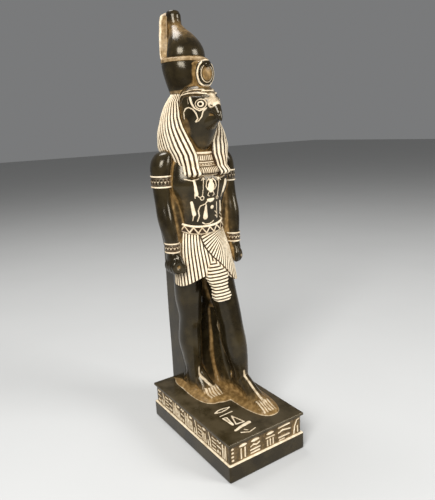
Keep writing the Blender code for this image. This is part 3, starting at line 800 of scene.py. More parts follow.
def arm_forms(side):
    """Shoulder, arm and closed hand of one side."""
    arm = [
        (180.0, 33.8, 20.8, 5.4, 6.4),
        (188.0, 34.0, 21.4, 5.6, 6.6),
        (198.0, 34.4, 22.2, 6.3, 7.2),
        (208.0, 35.4, 24.4, 7.2, 8.2),
        (218.0, 36.0, 26.6, 7.4, 8.8),
        (228.0, 36.0, 29.0, 7.0, 8.6),
        (241.0, 35.2, 31.4, 7.8, 9.6),
        (254.0, 34.4, 32.6, 8.8, 11.2),
        (264.0, 33.2, 33.2, 9.6, 11.6),
        (270.5, 30.8, 33.6, 9.0, 10.6),
        (275.0, 27.4, 34.0, 7.0, 8.6),
        (277.4, 24.6, 34.2, 3.0, 4.0),
    ]
    palm = [
        (166.0, 33.2, 21.4, 3.6, 4.4),
        (170.0, 33.4, 21.2, 5.4, 6.4),
        (178.0, 33.6, 20.6, 6.0, 7.6),
        (185.0, 33.8, 20.8, 5.4, 6.6),
    ]
    thumb = [
        (166.4, 29.4, 11.4, 0.4, 0.4),
        (167.2, 29.5, 11.2, 1.7, 1.8),
        (170.0, 29.8, 10.8, 2.3, 2.5),
        (176.0, 30.6, 11.4, 2.4, 2.7),
        (182.0, 32.0, 14.4, 2.6, 3.0),
        (187.0, 33.2, 17.4, 1.8, 2.0),
    ]
    forms = [
        wrapped(lofted(arm, 60, 90, 2.0)),
        wrapped(lofted(palm, 40, 24, 2.4)),
        wrapped(lofted(thumb, 24, 30, 2.0)),
    ]
    if side < 0:
        forms = [mirrored(form) for form in forms]
    return forms + [finger_ring(12.8 + 4.2 * i, side, (0.84, 0.96, 1.0, 0.92)[i]) for i in range(4)]


def arms():
    """Both arms and the stone left between them and the body."""
    web = [
        (165.0, 0, 33.0, 31.0, 12.0),
        (185.0, 0, 33.5, 33.0, 13.0),
        (215.0, 0, 35.0, 36.0, 13.5),
        (250.0, 0, 37.0, 36.0, 12.0),
        (262.0, 0, 38.0, 33.0, 10.0),
    ]
    forms = [wrapped(lofted(web, 100, 80, 4.0))] + arm_forms(-1) + arm_forms(1)
    made = joined("arms", forms, ARMS_CELL)

    def carve(place):
        x, y, z = place.T
        # A painted highlight in the hollow of each fist.
        hole_highlight = oval(np.abs(x), z, 35.6, 172.4, 1.5, 2.2, 0.5) * between(y, 5, 13)
        inward = np.clip((38 - np.abs(x)) / 8, 0, 1)
        return np.zeros(len(place)), 0.5 * hole_highlight, 0.30 * inward * between(z, 168, 262, 8.0)

    engrave(made, carve)
    return made


def bracelet(name, side, level, height, centre, half):
    """A band round an arm: a raised edge above and below, and small shapes between."""
    rows = [
        (level - height / 2 - 0.1, centre[0], centre[1], half[0] - 1.5, half[1] - 1.5),
        (level - height / 2, centre[0], centre[1], half[0] - 0.4, half[1] - 0.4),
        (level, centre[0], centre[1], half[0] - 0.4, half[1] - 0.4),
        (level + height / 2, centre[0], centre[1], half[0] - 0.4, half[1] - 0.4),
        (level + height / 2 + 0.1, centre[0], centre[1], half[0] - 1.5, half[1] - 1.5),
    ]
    points = lofted(rows, 130, 38, 2.0)
    points[..., 0] *= side

    def carve(points, run):
        z = points[..., 2] - level
        edge = height / 2
        raised = between(np.abs(z), edge - 1.5, edge - 0.1, 0.15)
        pitch = 3.3
        cell = (run / pitch) % 1.0
        wave = np.abs(z - (edge - 3.6) * (4 * np.abs(cell - 0.5) - 1)) < 0.45
        bead = np.hypot((cell - 0.5) * pitch, z) < 0.75
        inner = np.abs(z) < edge - 3.0
        pattern = (wave | bead) & inner
        rail = between(np.abs(z), edge - 3.1, edge - 2.5, 0.15)
        gilt = np.maximum(np.maximum(raised * 0.85, pattern * 0.62), rail * 0.5)
        dark = between(np.abs(z), edge - 2.4, edge - 1.6, 0.15)
        return raised * 0.4 + pattern * 0.3 - dark * 0.3, gilt, 0.3

    return carved(name, points, carve)


# Belt and kilt


KILT_ROWS = [
    (142.0, 1.2, 21.0, 31.9, 22.8),
    (160.0, 1.2, 23.4, 30.9, 21.0),
    (176.0, 0.6, 26.0, 29.7, 19.2),
    (190.0, 0.0, 28.6, 27.6, 17.4),
    (200.0, 0.0, 30.2, 25.4, 16.4),
    (214.0, 0.0, 31.4, 23.6, 16.4),
]
KILT_SQUARE = 2.2


def on_hips(level, turn, grow):
    """Points of the kilt's own surface at these levels and turns, grown outward."""
    table = np.array(KILT_ROWS)
    sizes = eased(table[:, 0], table[:, 1:], level.ravel()).reshape(*level.shape, 4)
    out = signed_power(np.sin(turn), 2 / KILT_SQUARE)
    deep = signed_power(np.cos(turn), 2 / KILT_SQUARE)
    x = sizes[..., 0] + (sizes[..., 2] + grow) * out
    y = sizes[..., 1] + (sizes[..., 3] + grow) * deep
    return np.stack([x, y, level], axis=-1)


def belt():
    """The belt with its raised edges and zigzag."""
    around, along = 380, 28
    turn = even_turns(around, 25.0, 17.0, KILT_SQUARE)
    facing = np.clip(-np.cos(turn), 0, 1)
    foot = BELT_TOP_FRONT - BELT_HEIGHT + 6.2 * (1 - facing**1.3)
    shown = np.linspace(0, BELT_HEIGHT, along - 3)
    height = np.concatenate([[0.0, 0.0], shown, [BELT_HEIGHT, BELT_HEIGHT]])
    grow = np.concatenate([[-3.0, -0.6], np.full(along - 3, 0.9), [-0.6, -3.0]])
    level = foot[None, :] + height[:, None]
    points = on_hips(level, turn[None, :], grow[:, None])

    def carve(points, run):
        z = points[..., 2] - foot[None, :]
        top = between(z, BELT_HEIGHT - 1.3, BELT_HEIGHT + 0.2, 0.15)
        bottom = between(z, -0.2, 0.7, 0.15)
        pitch = 8.4
        cell = np.abs(((run + 1.6) / pitch) % 1.0 - 0.5) * 2
        inner = (z - 0.8) / (BELT_HEIGHT - 2.2)
        zigzag = np.clip((0.55 - np.abs(inner - 1 + cell) * 2.7) / 0.3 + 0.5, 0, 1)
        zigzag = zigzag * between(z, 0.6, BELT_HEIGHT - 1.4, 0.15)
        gilt = np.maximum(np.maximum(top, bottom * 0.7), zigzag * 0.75)
        return top * 0.45 + bottom * 0.25 + zigzag * 0.35, gilt, 0.25

    return carved("belt", points, carve)


def kilt():
    """The kilt: upright pleats on one side, a fan of pleats on the other, and the overlap between them."""
    around, along, inner = 500, 118, 8
    turn = even_turns(around, 30.0, 19.0, KILT_SQUARE)
    facing = np.clip(-np.cos(turn), 0, 1)
    hem = 152.8 + np.where(np.sin(turn) > 0, 10.5 * facing**7 - 2.5 * (1 - facing**7), 10.5 * facing**2.4)
    shown = along + 1 - inner
    share = np.concatenate([np.linspace(0, 1, shown), np.ones(inner)])
    level = 205.0 + (hem[None, :] - 205.0) * share[:, None]
    level = level + np.concatenate([np.zeros(shown), np.linspace(0, 3.6, inner)])[:, None]
    shrink = np.concatenate([np.zeros(shown), np.minimum(np.linspace(0, 12, inner), 2.4)])
    points = on_hips(level, turn[None, :], -shrink[:, None])
    outside = np.concatenate([np.ones(shown), np.zeros(inner)])[:, None]
    overlap = [(-8.6, 200), (-6.8, 191.5), (-4.3, 184.7), (0, 177.8)]
    overlap += [(6.6, 171.1), (13.6, 163.2), (20, 156.5), (30, 146)]

    def carve(points, run):
        z = points[..., 2]
        right = side_below(run, z, overlap)
        fan = np.clip(right / 0.6 + 0.5, 0, 1) * (np.abs(run) < 60)
        angle = np.arctan2(FAN_CENTRE[1] - z, FAN_CENTRE[0] - run)
        reach = np.hypot(FAN_CENTRE[1] - z, FAN_CENTRE[0] - run)
        fan_ridge = ridged((angle + 0.0035 * (45 - reach)) / FAN_PITCH)
        fan_ridge = np.where(run > 30, ridged(run / PLEAT_PITCH), fan_ridge)
        spread = np.abs(run).max(axis=1, keepdims=True)
        upright = ridged(run / spread * spread[: shown // 2].mean() / PLEAT_PITCH + 0.25)
        ridge = fan * fan_ridge + (1 - fan) * upright
        edge = np.clip((0.75 - np.abs(right)) / 0.5 + 0.5, 0, 1)
        rise = (-PLEAT_GROOVE * (1 - ridge) + 0.35 * fan - 0.5 * edge) * outside
        gilt = crested(ridge) * (1 - edge * 0.9) * outside
        return rise, gilt, 0.2

    return carved("kilt", points, carve)


def apron():
    """The pleated tongue at the front of the kilt."""
    rows = [
        (137.0, 2.6, -1.6, 6.2, 3.4),
        (137.6, 2.6, -1.6, 7.0, 4.4),
        (150.0, 1.8, 0.6, 8.0, 4.4),
        (160.0, 1.2, 3.8, 11.0, 4.6),
        (164.0, 1.0, 5.2, 10.0, 4.6),
        (168.0, 0.0, 6.8, 7.0, 4.6),
        (172.0, -0.8, 8.4, 3.2, 4.4),
        (174.4, -1.0, 9.4, 0.6, 4.2),
    ]

    def carve(points, run):
        x, z = points[..., 0], points[..., 2]
        ridge = ridged((z - 139.2 - 0.05 * np.abs(x - 2)) / APRON_PLEAT)
        front = outward(points)[..., 1] < 0.2
        return -PLEAT_GROOVE * (1 - ridge), crested(ridge) * front, 0.2

    return carved("apron", lofted(rows, 110, 136, 5.0), carve)


# Collar, wig and head


def collar():
    """The broad collar between the wig's falls."""
    rows = [
        (COLLAR_BOTTOM - 0.6, 0, 21.0, 15.0, 11.6),
        (COLLAR_BOTTOM, 0, 21.0, 16.0, 13.4),
        (COLLAR_BOTTOM + 10, 0, 22.4, 16.0, 13.6),
        (COLLAR_TOP - 2, 0, 24.6, 16.0, 13.6),
        (COLLAR_TOP, 0, 25.2, 15.0, 13.4),
        (COLLAR_TOP + 1.2, 0, 25.8, 12.0, 11.0),
    ]

    def carve(points, run):
        x = points[..., 0]
        z = points[..., 2] + 0.011 * (16**2 - x**2) * 0.25
        rise = np.zeros_like(x)
        gilt = np.zeros_like(x)
        rails = [(254.0, 1.0), (265.4, 0.55), (262.6, 0.35), (273.6, 0.9)]
        for level, half in rails:
            rail = between(z, level - half, level + half, 0.15)
            rise = rise + 0.4 * rail
            gilt = np.maximum(gilt, rail * 0.8)
        for low, high, pitch, shift in ((256.2, 261.2, 1.95, 0.0), (266.8, 271.6, 1.95, 0.4)):
            beads = ridged(x / pitch + shift) * between(z, low, high, 0.15)
            rise = rise + 0.6 * beads
            gilt = np.maximum(gilt, crested(beads, 0.4, 0.9) * 0.8)
        small = (np.abs((x / 3.0) % 1 - 0.5) < 0.3) * between(z, 263.4, 264.4, 0.15)
        shade = between(z, 271.9, 272.6, 0.15) + between(z, 255.2, 256.0, 0.15)
        gilt = np.maximum(gilt, small * 0.7) * (1 - np.clip(shade, 0, 1))
        return rise - 0.3 * shade, gilt, 0.5

    return carved("collar", lofted(rows, 220, 72, 2.8), carve)


# By height: half the wig's opening along its surface, how far the opening sits to -X, and how square it is.
WIG_OPENING = [(254, 9.6), (262, 9.0), (272, 8.2), (283, 10.6)]
WIG_OPENING += [(296, 16.5), (305, 19.5), (318, 20.5), (327, 15.0)]
WIG_LEAN = [(254, 2.2), (262, 2.0), (272, 2.8), (284, 3.9), (300, 1.7), (310, 0.3)]
WIG_SQUARE = [(254, 4.0), (280, 3.4), (300, 2.3), (327, 2.0)]


def wig():
    """The striped wig: from under the crown down to its two falls and its back."""
    rows = [
        (WIG_BOTTOM - 0.5, 2.2, 31.0, 21.6, 23.0),
        (WIG_BOTTOM, 2.2, 31.0, 22.6, 24.6),
        (262.0, 2.0, 31.4, 25.0, 24.8),
        (272.0, 1.8, 32.8, 28.6, 24.0),
        (280.0, 1.6, 34.2, 31.0, 23.6),
        (288.0, 1.4, 35.2, 31.0, 23.0),
        (298.0, 0.8, 36.0, 29.0, 22.8),
        (309.0, 0.3, 36.0, 25.0, 22.4),
        (318.0, 0, 34.6, 20.8, 20.6),
        (WIG_TOP - 3.0, 0, 34.0, 16.8, 17.2),
        (WIG_TOP, 0, 34.0, 14.6, 15.0),
        (WIG_TOP + 0.8, 0, 34.0, 13.0, 13.6),
    ]
    around, along = 540, 112
    rings = profile(rows, along)
    turn = even_turns(around, 26.0, 24.0, 2.5)
    place, first, second, half_first, half_second = (rings[:, k][:, None] for k in range(5))
    square = read_off(place, WIG_SQUARE)
    x = first + half_first * signed_power(np.sin(turn), 2 / square)
    y = second + half_second * signed_power(np.cos(turn), 2 / square)
    points = np.stack([x, y, np.broadcast_to(place, x.shape)], axis=-1)

    def carve(points, run):
        z = points[..., 2]
        inner = read_off(z, WIG_OPENING)
        half = np.abs(run).max(axis=1, keepdims=True)
        inner = inner - np.sign(run) * read_off(z, WIG_LEAN)
        share = (np.abs(run) - inner) / (half - inner)
        ridge = ridged(share * WIG_STRIPES + 0.15)
        front = np.clip(share * WIG_STRIPES * 3, 0, 1)
        recess = np.clip((inner - np.abs(run)) / 1.2, 0, 1) * between(z, 200, 322, 2.0)
        edge = between(z, WIG_BOTTOM - 1.0, WIG_BOTTOM + 0.5, 0.2)
        border = between(np.abs(run) - inner, 0.0, 1.5, 0.2)
        gilt = np.maximum(crested(ridge), border * 0.9) * (1 - edge) * front
        return -WIG_GROOVE * (1 - ridge) * front * (1 - border) - WIG_RECESS * recess, gilt, 0.15

    return carved("wig", points, carve)


def head():
    """The falcon's head: skull, beak and lower jaw as one skin, then the carving of the face."""
    skull = [
        (268.0, 0, 30.0, 12.0, 15.0),
        (273.0, 0, 29.0, 12.6, 15.4),
        (278.0, 0, 25.4, 13.6, 16.6),
        (285.0, 0, 22.4, 14.8, 17.8),
        (291.0, 0, 20.8, 16.0, 19.6),
        (298.0, 0, 19.8, 17.0, 22.8),
        (306.0, 0, 19.4, 17.4, 26.0),
        (313.0, 0, 19.2, 17.4, 27.2),
        (320.0, 0, 19.0, 16.8, 25.6),
        (325.0, 0, 19.4, 15.4, 21.0),
        (330.0, 0, 20.0, 11.5, 15.0),
    ]
    upper = [
        (-17.4, 0, 300.8, 0.4, 1.2),
        (-16.8, 0, 302.4, 1.3, 3.0),
        (-15.2, 0, 305.2, 2.5, 4.8),
        (-12.6, 0, 308.4, 3.6, 6.0),
        (-9.0, 0, 311.2, 4.8, 6.8),
        (-4.0, 0, 312.0, 6.4, 7.6),
        (3.0, 0, 311.6, 8.6, 8.6),
    ]
    lower = [
        (-14.0, 0, 302.6, 0.4, 0.5),
        (-13.2, 0, 302.4, 1.6, 1.6),
        (-9.0, 0, 301.6, 3.6, 3.8),
        (-3.0, 0, 300.4, 6.0, 6.0),
        (4.0, 0, 299.0, 8.8, 8.0),
    ]
    forms = [
        wrapped(lofted(skull, 120, 120, 1.65)),
        wrapped(lofted(upper, 48, 60, 2.0, axis="y")),
        wrapped(lofted(lower, 40, 40, 2.0, axis="y")),
    ]
    made = joined("head", forms, HEAD_CELL)

    def carve(place):
        x, y, z = place.T
        side = np.clip(np.abs(x) / 2.0 - 1.2, 0, 1)
        eye_y, eye_z = -1.0, 314.4

        def drawn(start, end, *path):
            return line(y, z, path, start, end) * side

        pupil = oval(y, z, eye_y, eye_z, 1.15, 1.15, 0.2) * side
        white = ring(y, z, eye_y, eye_z, 1.9, 0.6, 0.2) * side
        lid = ring(y, z, eye_y, eye_z, 3.85, 0.45, 0.2) * side
        socket = ring(y, z, eye_y, eye_z, 2.95, 0.38, 0.2) * side
        brow = drawn(0.55, 0.55, (22, 319.0), (19, 322.6), (12, 323.8), (3, 323.6), (-5, 322.2))
        under_brow = drawn(0.7, 0.7, (20.5, 318), (16, 321.2), (8, 321.9), (-0.8, 321.0), (-4.8, 320.4))
        cheek_curl = [(15.0, 303.0), (15.0, 308.4), (12.6, 311.4), (9.2, 312.2)]
        cheek_curl += [(5.4, 310.6), (2.8, 306.4), (2.4, 302.8), (4.6, 300.2)]
        curl = drawn(0.55, 0.55, *cheek_curl)
        tear = drawn(0.5, 0.5, (-4.8, 311.0), (-2.2, 308.2), (-0.6, 304.2), (2.2, 301.0), (4.6, 299.8))
        feather = drawn(0.9, 0.5, (8.4, 320.6), (6.4, 315.4), (4.2, 311.6), (0.2, 309.0), (-4.0, 310.4))
        whisker = drawn(0.4, 0.4, (10.6, 319.6), (9.4, 315.0))
        temple = drawn(0.45, 0.45, (15.6, 320.2), (18.2, 315.5), (18.4, 308), (17.0, 301))
        parting = [(-3.0, 326.2), (8.0, 326.6), (17.0, 325.0), (21.6, 319.6), (22.2, 311), (20.6, 301)]
        hairline = drawn(0.5, 0.5, *parting)
        patch = oval(y, z, 13.6, 297.0, 3.2, 7.0, 1.0) * side
        mouth = line(y, z, [(-5.5, 309.6), (-11.4, 308.0), (-16.0, 305.0)], 0.35)
        cere = oval(y, z, -9.6, 315.6, 4.4, 5.4, 0.7)
        cere = np.maximum(cere, line(y, z, [(-5.0, 323.0), (-9.0, 319.0)], 1.5, 2.2, 0.8))
        nostril = line(y, z, [(-8.6, 313.0), (-10.6, 312.4)], 0.28, soft=0.2)
        nostril = nostril * np.clip(np.abs(x) / 1.5 - 0.6, 0, 1)
        crest = between(z, 324.6, 326.0, 0.3) * between(y, -20, 2)
        forehead = between(y, -20, -2.6, 1.5) * between(z, 317.0, 325.0, 1.0)
        cheek = oval(y, z, 18.8, 308.5, 2.8, 9.5, 1.5) * side
        raised = lid * 0.5 + white * 0.35 + curl * 0.55 + tear * 0.5 + feather * 0.45 + brow * 0.5
        sunk = socket * 0.4 + under_brow * 0.6 + mouth * 0.5 + nostril * 0.5
        rise = raised - sunk + pupil * 0.3 + cere * 0.3 + (whisker + temple + hairline) * 0.35
        gilt = np.maximum.reduce(
            [white, lid * 0.75, curl * 0.85, tear * 0.8, feather * 0.85, brow * 0.8, cere * 0.62]
            + [crest * 0.7, forehead * 0.55, whisker * 0.6, temple * 0.45, hairline * 0.7]
        )
        gilt = gilt * (1 - np.clip(pupil + socket + under_brow + nostril + mouth * 0.6, 0, 1))
        wash = 0.5 * patch + 0.45 * cheek + 0.28 * between(z, 262, 288, 7.0)
        wash = wash + 0.35 * between(z, 321, 331, 2.0)
        return rise, gilt, wash

    engrave(made, carve)
    return made


# Crown


def crown_cup():
    """The lower crown, a flaring cup with a pale chamfered rim."""
    rows = [
        (WIG_TOP - 3.0, 0, 33.4, 16.0, 16.8),
        (WIG_TOP - 0.5, 0, 33.6, 16.9, 17.6),
        (338.0, 0, 35.8, 19.4, 20.0),
        (347.0, 0, 37.2, 20.8, 21.0),
        (RIM - 4.2, 0, 37.9, 20.9, 21.0),
        (RIM - 3.4, 0, 38.0, 20.9, 21.0),
        (RIM - 0.3, 0, 38.2, 19.7, 19.9),
        (RIM, 0, 38.2, 18.8, 19.0),
    ]

    def carve(points, run):
        z = points[..., 2]
        rim = between(z, RIM - 3.7, RIM + 0.5, 0.25)
        groove = between(z, RIM - 4.9, RIM - 4.0, 0.2)
        foot = between(z, WIG_TOP - 2.0, WIG_TOP + 0.7, 0.3)
        return -0.3 * groove, np.maximum(rim * 0.46, foot * 0.40), 0.9 * rim + 0.6 * foot

    return carved("crown_cup", lofted(rows, 150, 66, 2.0), carve)


def crown_back():
    """The tall back of the lower crown, a thick curved panel that spreads into the rim."""
    levels = np.array(
        [
            (RIM - 8.0, 20.2, 38.2, 84.0),
            (RIM - 1.0, 20.9, 38.4, 72.0),
            (RIM + 2.5, 21.1, 38.7, 60.0),
            (RIM + 7.0, 21.3, 39.0, 53.0),
            (371.0, 21.7, 39.4, 45.0),
            (383.0, 22.1, 39.9, 35.0),
            (391.6, 22.2, 40.2, 29.0),
            (395.6, 21.9, 40.4, 22.0),
            (397.8, 21.2, 40.6, 10.0),
        ]
    )
    thick = 8.0
    along, across, corner = 80, 40, 6
    fine = np.linspace(levels[0, 0], levels[-1, 0], along + 1)
    table = eased(levels[:, 0], levels[:, 1:], fine)
    sweep = np.linspace(-1, 1, across + 1)
    thin = np.linspace(0, 1, corner + 1)
    grids = []
    for level, (radius, centre, spread) in zip(fine, table):
        outer = [(radius, s) for s in sweep]
        end = [(radius - thick * t, 1.0) for t in thin[1:-1]]
        inner = [(radius - thick, s) for s in sweep[::-1]]
        start = [(radius - thick * (1 - t), -1.0) for t in thin[1:-1]]
        loop = np.array(outer + end + inner + start + outer[:1])
        turn = math.pi / 2 + np.radians(spread) * loop[:, 1]
        out, deep = loop[:, 0] * np.cos(turn), centre + loop[:, 0] * np.sin(turn)
        grids.append(np.column_stack([out, deep, np.full(len(loop), level)]))
    points = np.stack(grids)
    on_edge = np.array(([0.0] * (across + 1) + [1.0] * (corner - 1)) * 2 + [0.0])
    nearby = np.maximum.reduce([on_edge, np.roll(on_edge, 1), np.roll(on_edge, -1)])[None, :]
    reach = np.hypot(points[..., 0], points[..., 1] - 39.6)
    outer = np.clip((reach - 19.6) / 1.2, 0, 1)
    high = np.clip((points[..., 2] - RIM + 1.0) / 2.0, 0, 1)
    # The cut faces are cream; the extra brightness towards their outer edge is a painted highlight.
    gilt = nearby * (0.40 + 0.45 * outer) * high
    return finished(wrapped(points, gilt, nearby * 0.9), "crown_back")


def crown_bulb():
    """The upper crown, leaning back to its bulb."""
    rows = [
        (RIM - 6.0, 0, 38.0, 18.0, 18.6),
        (RIM - 0.5, 0, 35.0, 17.4, 15.2),
        (RIM + 1.0, 0, 35.0, 17.8, 15.4),
        (364.0, 0, 35.4, 16.6, 14.4),
        (371.0, 0, 38.4, 13.8, 13.0),
        (377.0, 0, 42.5, 10.4, 10.3),
        (382.0, 0, 47.4, 7.4, 7.7),
        (386.0, 0, 51.2, 6.2, 6.8),
        (391.0, 0, 53.0, 6.6, 7.2),
        (396.0, 0, 53.8, 6.0, 6.8),
        (398.6, 0, 54.2, 3.4, 4.0),
        (CROWN_TOP, 0, 54.4, 0.5, 0.6),
    ]

    def carve(points, run):
        return 0.0, 0.0, 0.35 * between(points[..., 2], 374, 388, 4.0) + 0.2

    return carved("crown_bulb", lofted(rows, 100, 84, 2.0), carve)


def cobra():
    """The rearing cobra: its hood with a pale double rim, its head and the stone behind it."""
    hood = [
        (328.2, 0, 6.8, 1.0, 0.8),
        (329.0, 0, 6.4, 3.4, 2.4),
        (332.0, 0, 6.0, 6.4, 3.6),
        (338.8, 0, 5.4, 8.8, 4.4),
        (344.0, 0, 5.2, 8.2, 4.2),
        (348.0, 0, 5.2, 5.8, 3.4),
        (350.2, 0, 5.4, 1.8, 1.8),
        (350.6, 0, 5.5, 0.3, 0.4),
    ]

    def carve(points, run):
        x, z = points[..., 0], points[..., 2]
        reach = np.hypot(x / 8.8, (z - 339.4) / 11.0)
        front = outward(points)[..., 1] < 0.1
        rim = between(reach, 0.88, 0.99, 0.02) * front
        second = between(reach, 0.60, 0.70, 0.03) * front
        dark = between(reach, 0.70, 0.86, 0.02) * front
        disc = between(reach, -1, 0.54, 0.05) * front
        gilt = np.maximum(rim * 0.85, second * 0.7) * (1 - dark)
        wash = 0.9 * disc + 0.5 * (1 - front)
        return rim * 0.35 + second * 0.3 - dark * 0.4 + disc * 0.2, gilt, wash

    made = [carved("cobra_hood", lofted(hood, 110, 76, 2.0), carve)]
    head_rows = [
        (-2.6, 0, 345.8, 0.3, 0.3),
        (-2.0, 0, 346.0, 1.8, 1.4),
        (-0.4, 0, 346.8, 3.2, 2.4),
        (2.4, 0, 347.8, 4.0, 3.0),
        (9.0, 0, 347.6, 3.4, 3.2),
    ]
    made.append(
        carved(
            "cobra_head",
            lofted(head_rows, 40, 36, 2.0, axis="y"),
            lambda points, run: (0.0, between(points[..., 2], 349.4, 352) * 0.7, 0.0),
        )
    )
    web = [
        (325.0, 0, 16.0, 4.4, 9.0),
        (330.0, 0, 16.0, 4.6, 10.0),
        (346.0, 0, 17.0, 4.6, 11.0),
        (350.0, 0, 17.4, 4.4, 10.6),
        (350.6, 0, 17.4, 3.4, 9.0),
    ]
    made.append(
        carved(
            "cobra_back",
            lofted(web, 64, 44, 5.0),
            lambda points, run: (0.0, 0.35 * between(points[..., 1], 3, 9, 2.0), 0.9),
        )
    )
    return made


# Patina


def all_triangles(pieces):
    """The places and faces of all the pieces together."""
    places, faces, start = [], [], 0
    for piece in pieces:
        mesh = piece.data
        mesh.calc_loop_triangles()
        places.append(numbers(mesh.vertices, "co", 3))
        faces.append(numbers(mesh.loop_triangles, "vertices", 3, np.int32) + start)
        start += len(mesh.vertices)
    return np.concatenate(places), np.concatenate(faces)


def fullness(pieces, cell, blur):
    """How full of stone the space round each point is, as a blurred grid, with its corner."""
    places, faces = all_triangles(pieces)
    tree = BVHTree.FromPolygons(places.tolist(), faces.tolist())
    pad = 4 * blur + 2
    corner = places.min(axis=0) - pad * cell
    shape = np.ceil((places.max(axis=0) - corner) / cell).astype(int) + pad
    grid = np.zeros(shape, np.float32)
    upward = Vector((0, 0, 1))
    for i in range(pad, shape[0] - pad):
        for j in range(pad, shape[1] - pad):
            at = Vector((corner[0] + (i + 0.37) * cell, corner[1] + (j + 0.41) * cell, corner[2]))
            depth, entered = 0, 0.0
            for _ in range(60):
                spot, normal, index, _far = tree.ray_cast(at, upward)
                if index is None:
                    break
                before = depth
                depth += 1 if normal.z < 0 else -1
                if before <= 0 < depth:
                    entered = spot.z
                elif before > 0 >= depth:
                    low = int(round((entered - corner[2]) / cell))
                    high = int(round((spot.z - corner[2]) / cell))
                    grid[i, j, low:high] = 1.0
                at = Vector((at.x, at.y, spot.z + 2e-6))
    for axis in range(3):
        for _ in range(2):
            total = np.cumsum(grid, axis=axis)
            width = 2 * blur + 1
            ahead = np.roll(total, -blur, axis=axis)
            behind = np.roll(total, blur + 1, axis=axis)
            grid = np.clip((ahead - behind) / width, 0, 1)
    return grid, corner


def patinate(pieces):
    """Write on each piece how hollow its surroundings are and how sharp its creases, for the patina."""
    cell = PATINA_CELL * MM
    grid, corner = fullness(pieces, cell, PATINA_BLUR)
    for piece in pieces:
        mesh = piece.data
        count = len(mesh.vertices)
        place = numbers(mesh.vertices, "co", 3)
        normal = numbers(mesh.vertex_normals, "vector", 3)
        at = (place + normal * PATINA_REACH * MM - corner) / cell - 0.5
        low = np.clip(np.floor(at).astype(int), 0, np.array(grid.shape) - 2)
        part = np.clip(at - low, 0, 1)
        full = np.zeros(count)
        for k in range(8):
            bit = np.array([k & 1, k >> 1 & 1, k >> 2 & 1])
            share = np.prod(np.where(bit, part, 1 - part), axis=1)
            spot = low + bit
            full += share * grid[spot[:, 0], spot[:, 1], spot[:, 2]]
        wash = 0.0
        if "wash" in mesh.attributes:
            wash = numbers(mesh.attributes["wash"].data, "value", 1)[:, 0]
        hollow = np.clip(np.clip((full - 0.40) / 0.22, 0, 1) + wash, 0, 1)
        edges = numbers(mesh.edges, "vertices", 2, np.int32)
        joined_to = np.bincount(edges.ravel(), minlength=count).astype(float)
        joined_to[joined_to == 0] = 1

        def neighbours(values):
            first = np.bincount(edges[:, 0], weights=values[edges[:, 1]], minlength=count)
            second = np.bincount(edges[:, 1], weights=values[edges[:, 0]], minlength=count)
            return (first + second) / joined_to

        pull = np.stack([neighbours(place[:, k].astype(float)) for k in range(3)], axis=1) - place
        length = np.linalg.norm(place[edges[:, 0]] - place[edges[:, 1]], axis=1).mean()
        crease = (pull * normal).sum(axis=1) / length
        for _ in range(3):
            crease = (crease + neighbours(crease)) / 2
        keep_numbers(mesh, "hollow", hollow)
        keep_numbers(mesh, "crease", np.clip(crease * 6, -1, 1))


# Materials


NOISE_ROUGHNESS = 0.55


class Finish:
    """A short way to lay out one material's nodes."""

    def __init__(self, name):
        self.material = bpy.data.materials.new(name)
        self.material.use_nodes = True
        self.tree = self.material.node_tree
        self.shader = self.tree.nodes["Principled BSDF"]
        self.coords = self.tree.nodes.new("ShaderNodeTexCoord").outputs["Object"]

    def feed(self, socket, value):
        """Set a socket or link to it."""
        if isinstance(value, bpy.types.NodeSocket):
            self.tree.links.new(value, socket)
        else:
            socket.default_value = value

    def noise(self, scale, detail=3.0):
        """A noise on the object's coordinates."""
        node = self.tree.nodes.new("ShaderNodeTexNoise")
        node.inputs["Scale"].default_value = scale
        node.inputs["Detail"].default_value = detail
        node.inputs["Roughness"].default_value = NOISE_ROUGHNESS
        self.tree.links.new(self.coords, node.inputs["Vector"])
        return node.outputs["Fac"]

    def attribute(self, name):
        """A number that the mesh carries."""
        node = self.tree.nodes.new("ShaderNodeAttribute")
        node.attribute_name = name
        return node.outputs["Fac"]

    def sum(self, *terms):
        """The sum of (value, weight) pairs."""
        total = None
        for value, weight in terms:
            node = self.tree.nodes.new("ShaderNodeMath")
            node.operation = "MULTIPLY_ADD"
            self.feed(node.inputs[0], value)
            self.feed(node.inputs[1], weight)
            self.feed(node.inputs[2], 0.0 if total is None else total)
            total = node.outputs[0]
        return total

    def ramp(self, value, low, high):
        """A smooth step from low to high."""
        node = self.tree.nodes.new("ShaderNodeMapRange")
        node.interpolation_type = "SMOOTHSTEP"
        for socket, number in zip(list(node.inputs)[1:5], (low, high, 0.0, 1.0)):
            socket.default_value = number
        self.feed(node.inputs[0], value)
        return node.outputs[0]

    def mix(self, amount, first, second):
        """One colour over another."""
        node = self.tree.nodes.new("ShaderNodeMix")
        node.data_type = "RGBA"
        self.feed(node.inputs["Factor"], amount)
        colours = [socket for socket in node.inputs if socket.type == "RGBA"]
        self.feed(colours[0], first)
        self.feed(colours[1], second)
        return next(socket for socket in node.outputs if socket.type == "RGBA")

    def bump(self, height, distance, strength):
        """A slight unevenness of the surface."""
        node = self.tree.nodes.new("ShaderNodeBump")
        node.inputs["Distance"].default_value = distance
        node.inputs["Strength"].default_value = strength
        self.tree.links.new(height, node.inputs["Height"])
        self.tree.links.new(node.outputs["Normal"], self.shader.inputs["Normal"])


BLACK_STONE = (0.0105, 0.0074, 0.0033, 1)
OLIVE_STONE = (0.027, 0.0195, 0.0082, 1)
PLINTH_STONE = (0.060, 0.045, 0.024, 1)
GROOVE_BROWN = (0.030, 0.0135, 0.005, 1)
GOLD_WASH = (0.135, 0.075, 0.022, 1)
TAN = (0.36, 0.225, 0.088, 1)
CREAM = (0.80, 0.69, 0.51, 1)
WORN_CREAM = (0.42, 0.30, 0.165, 1)


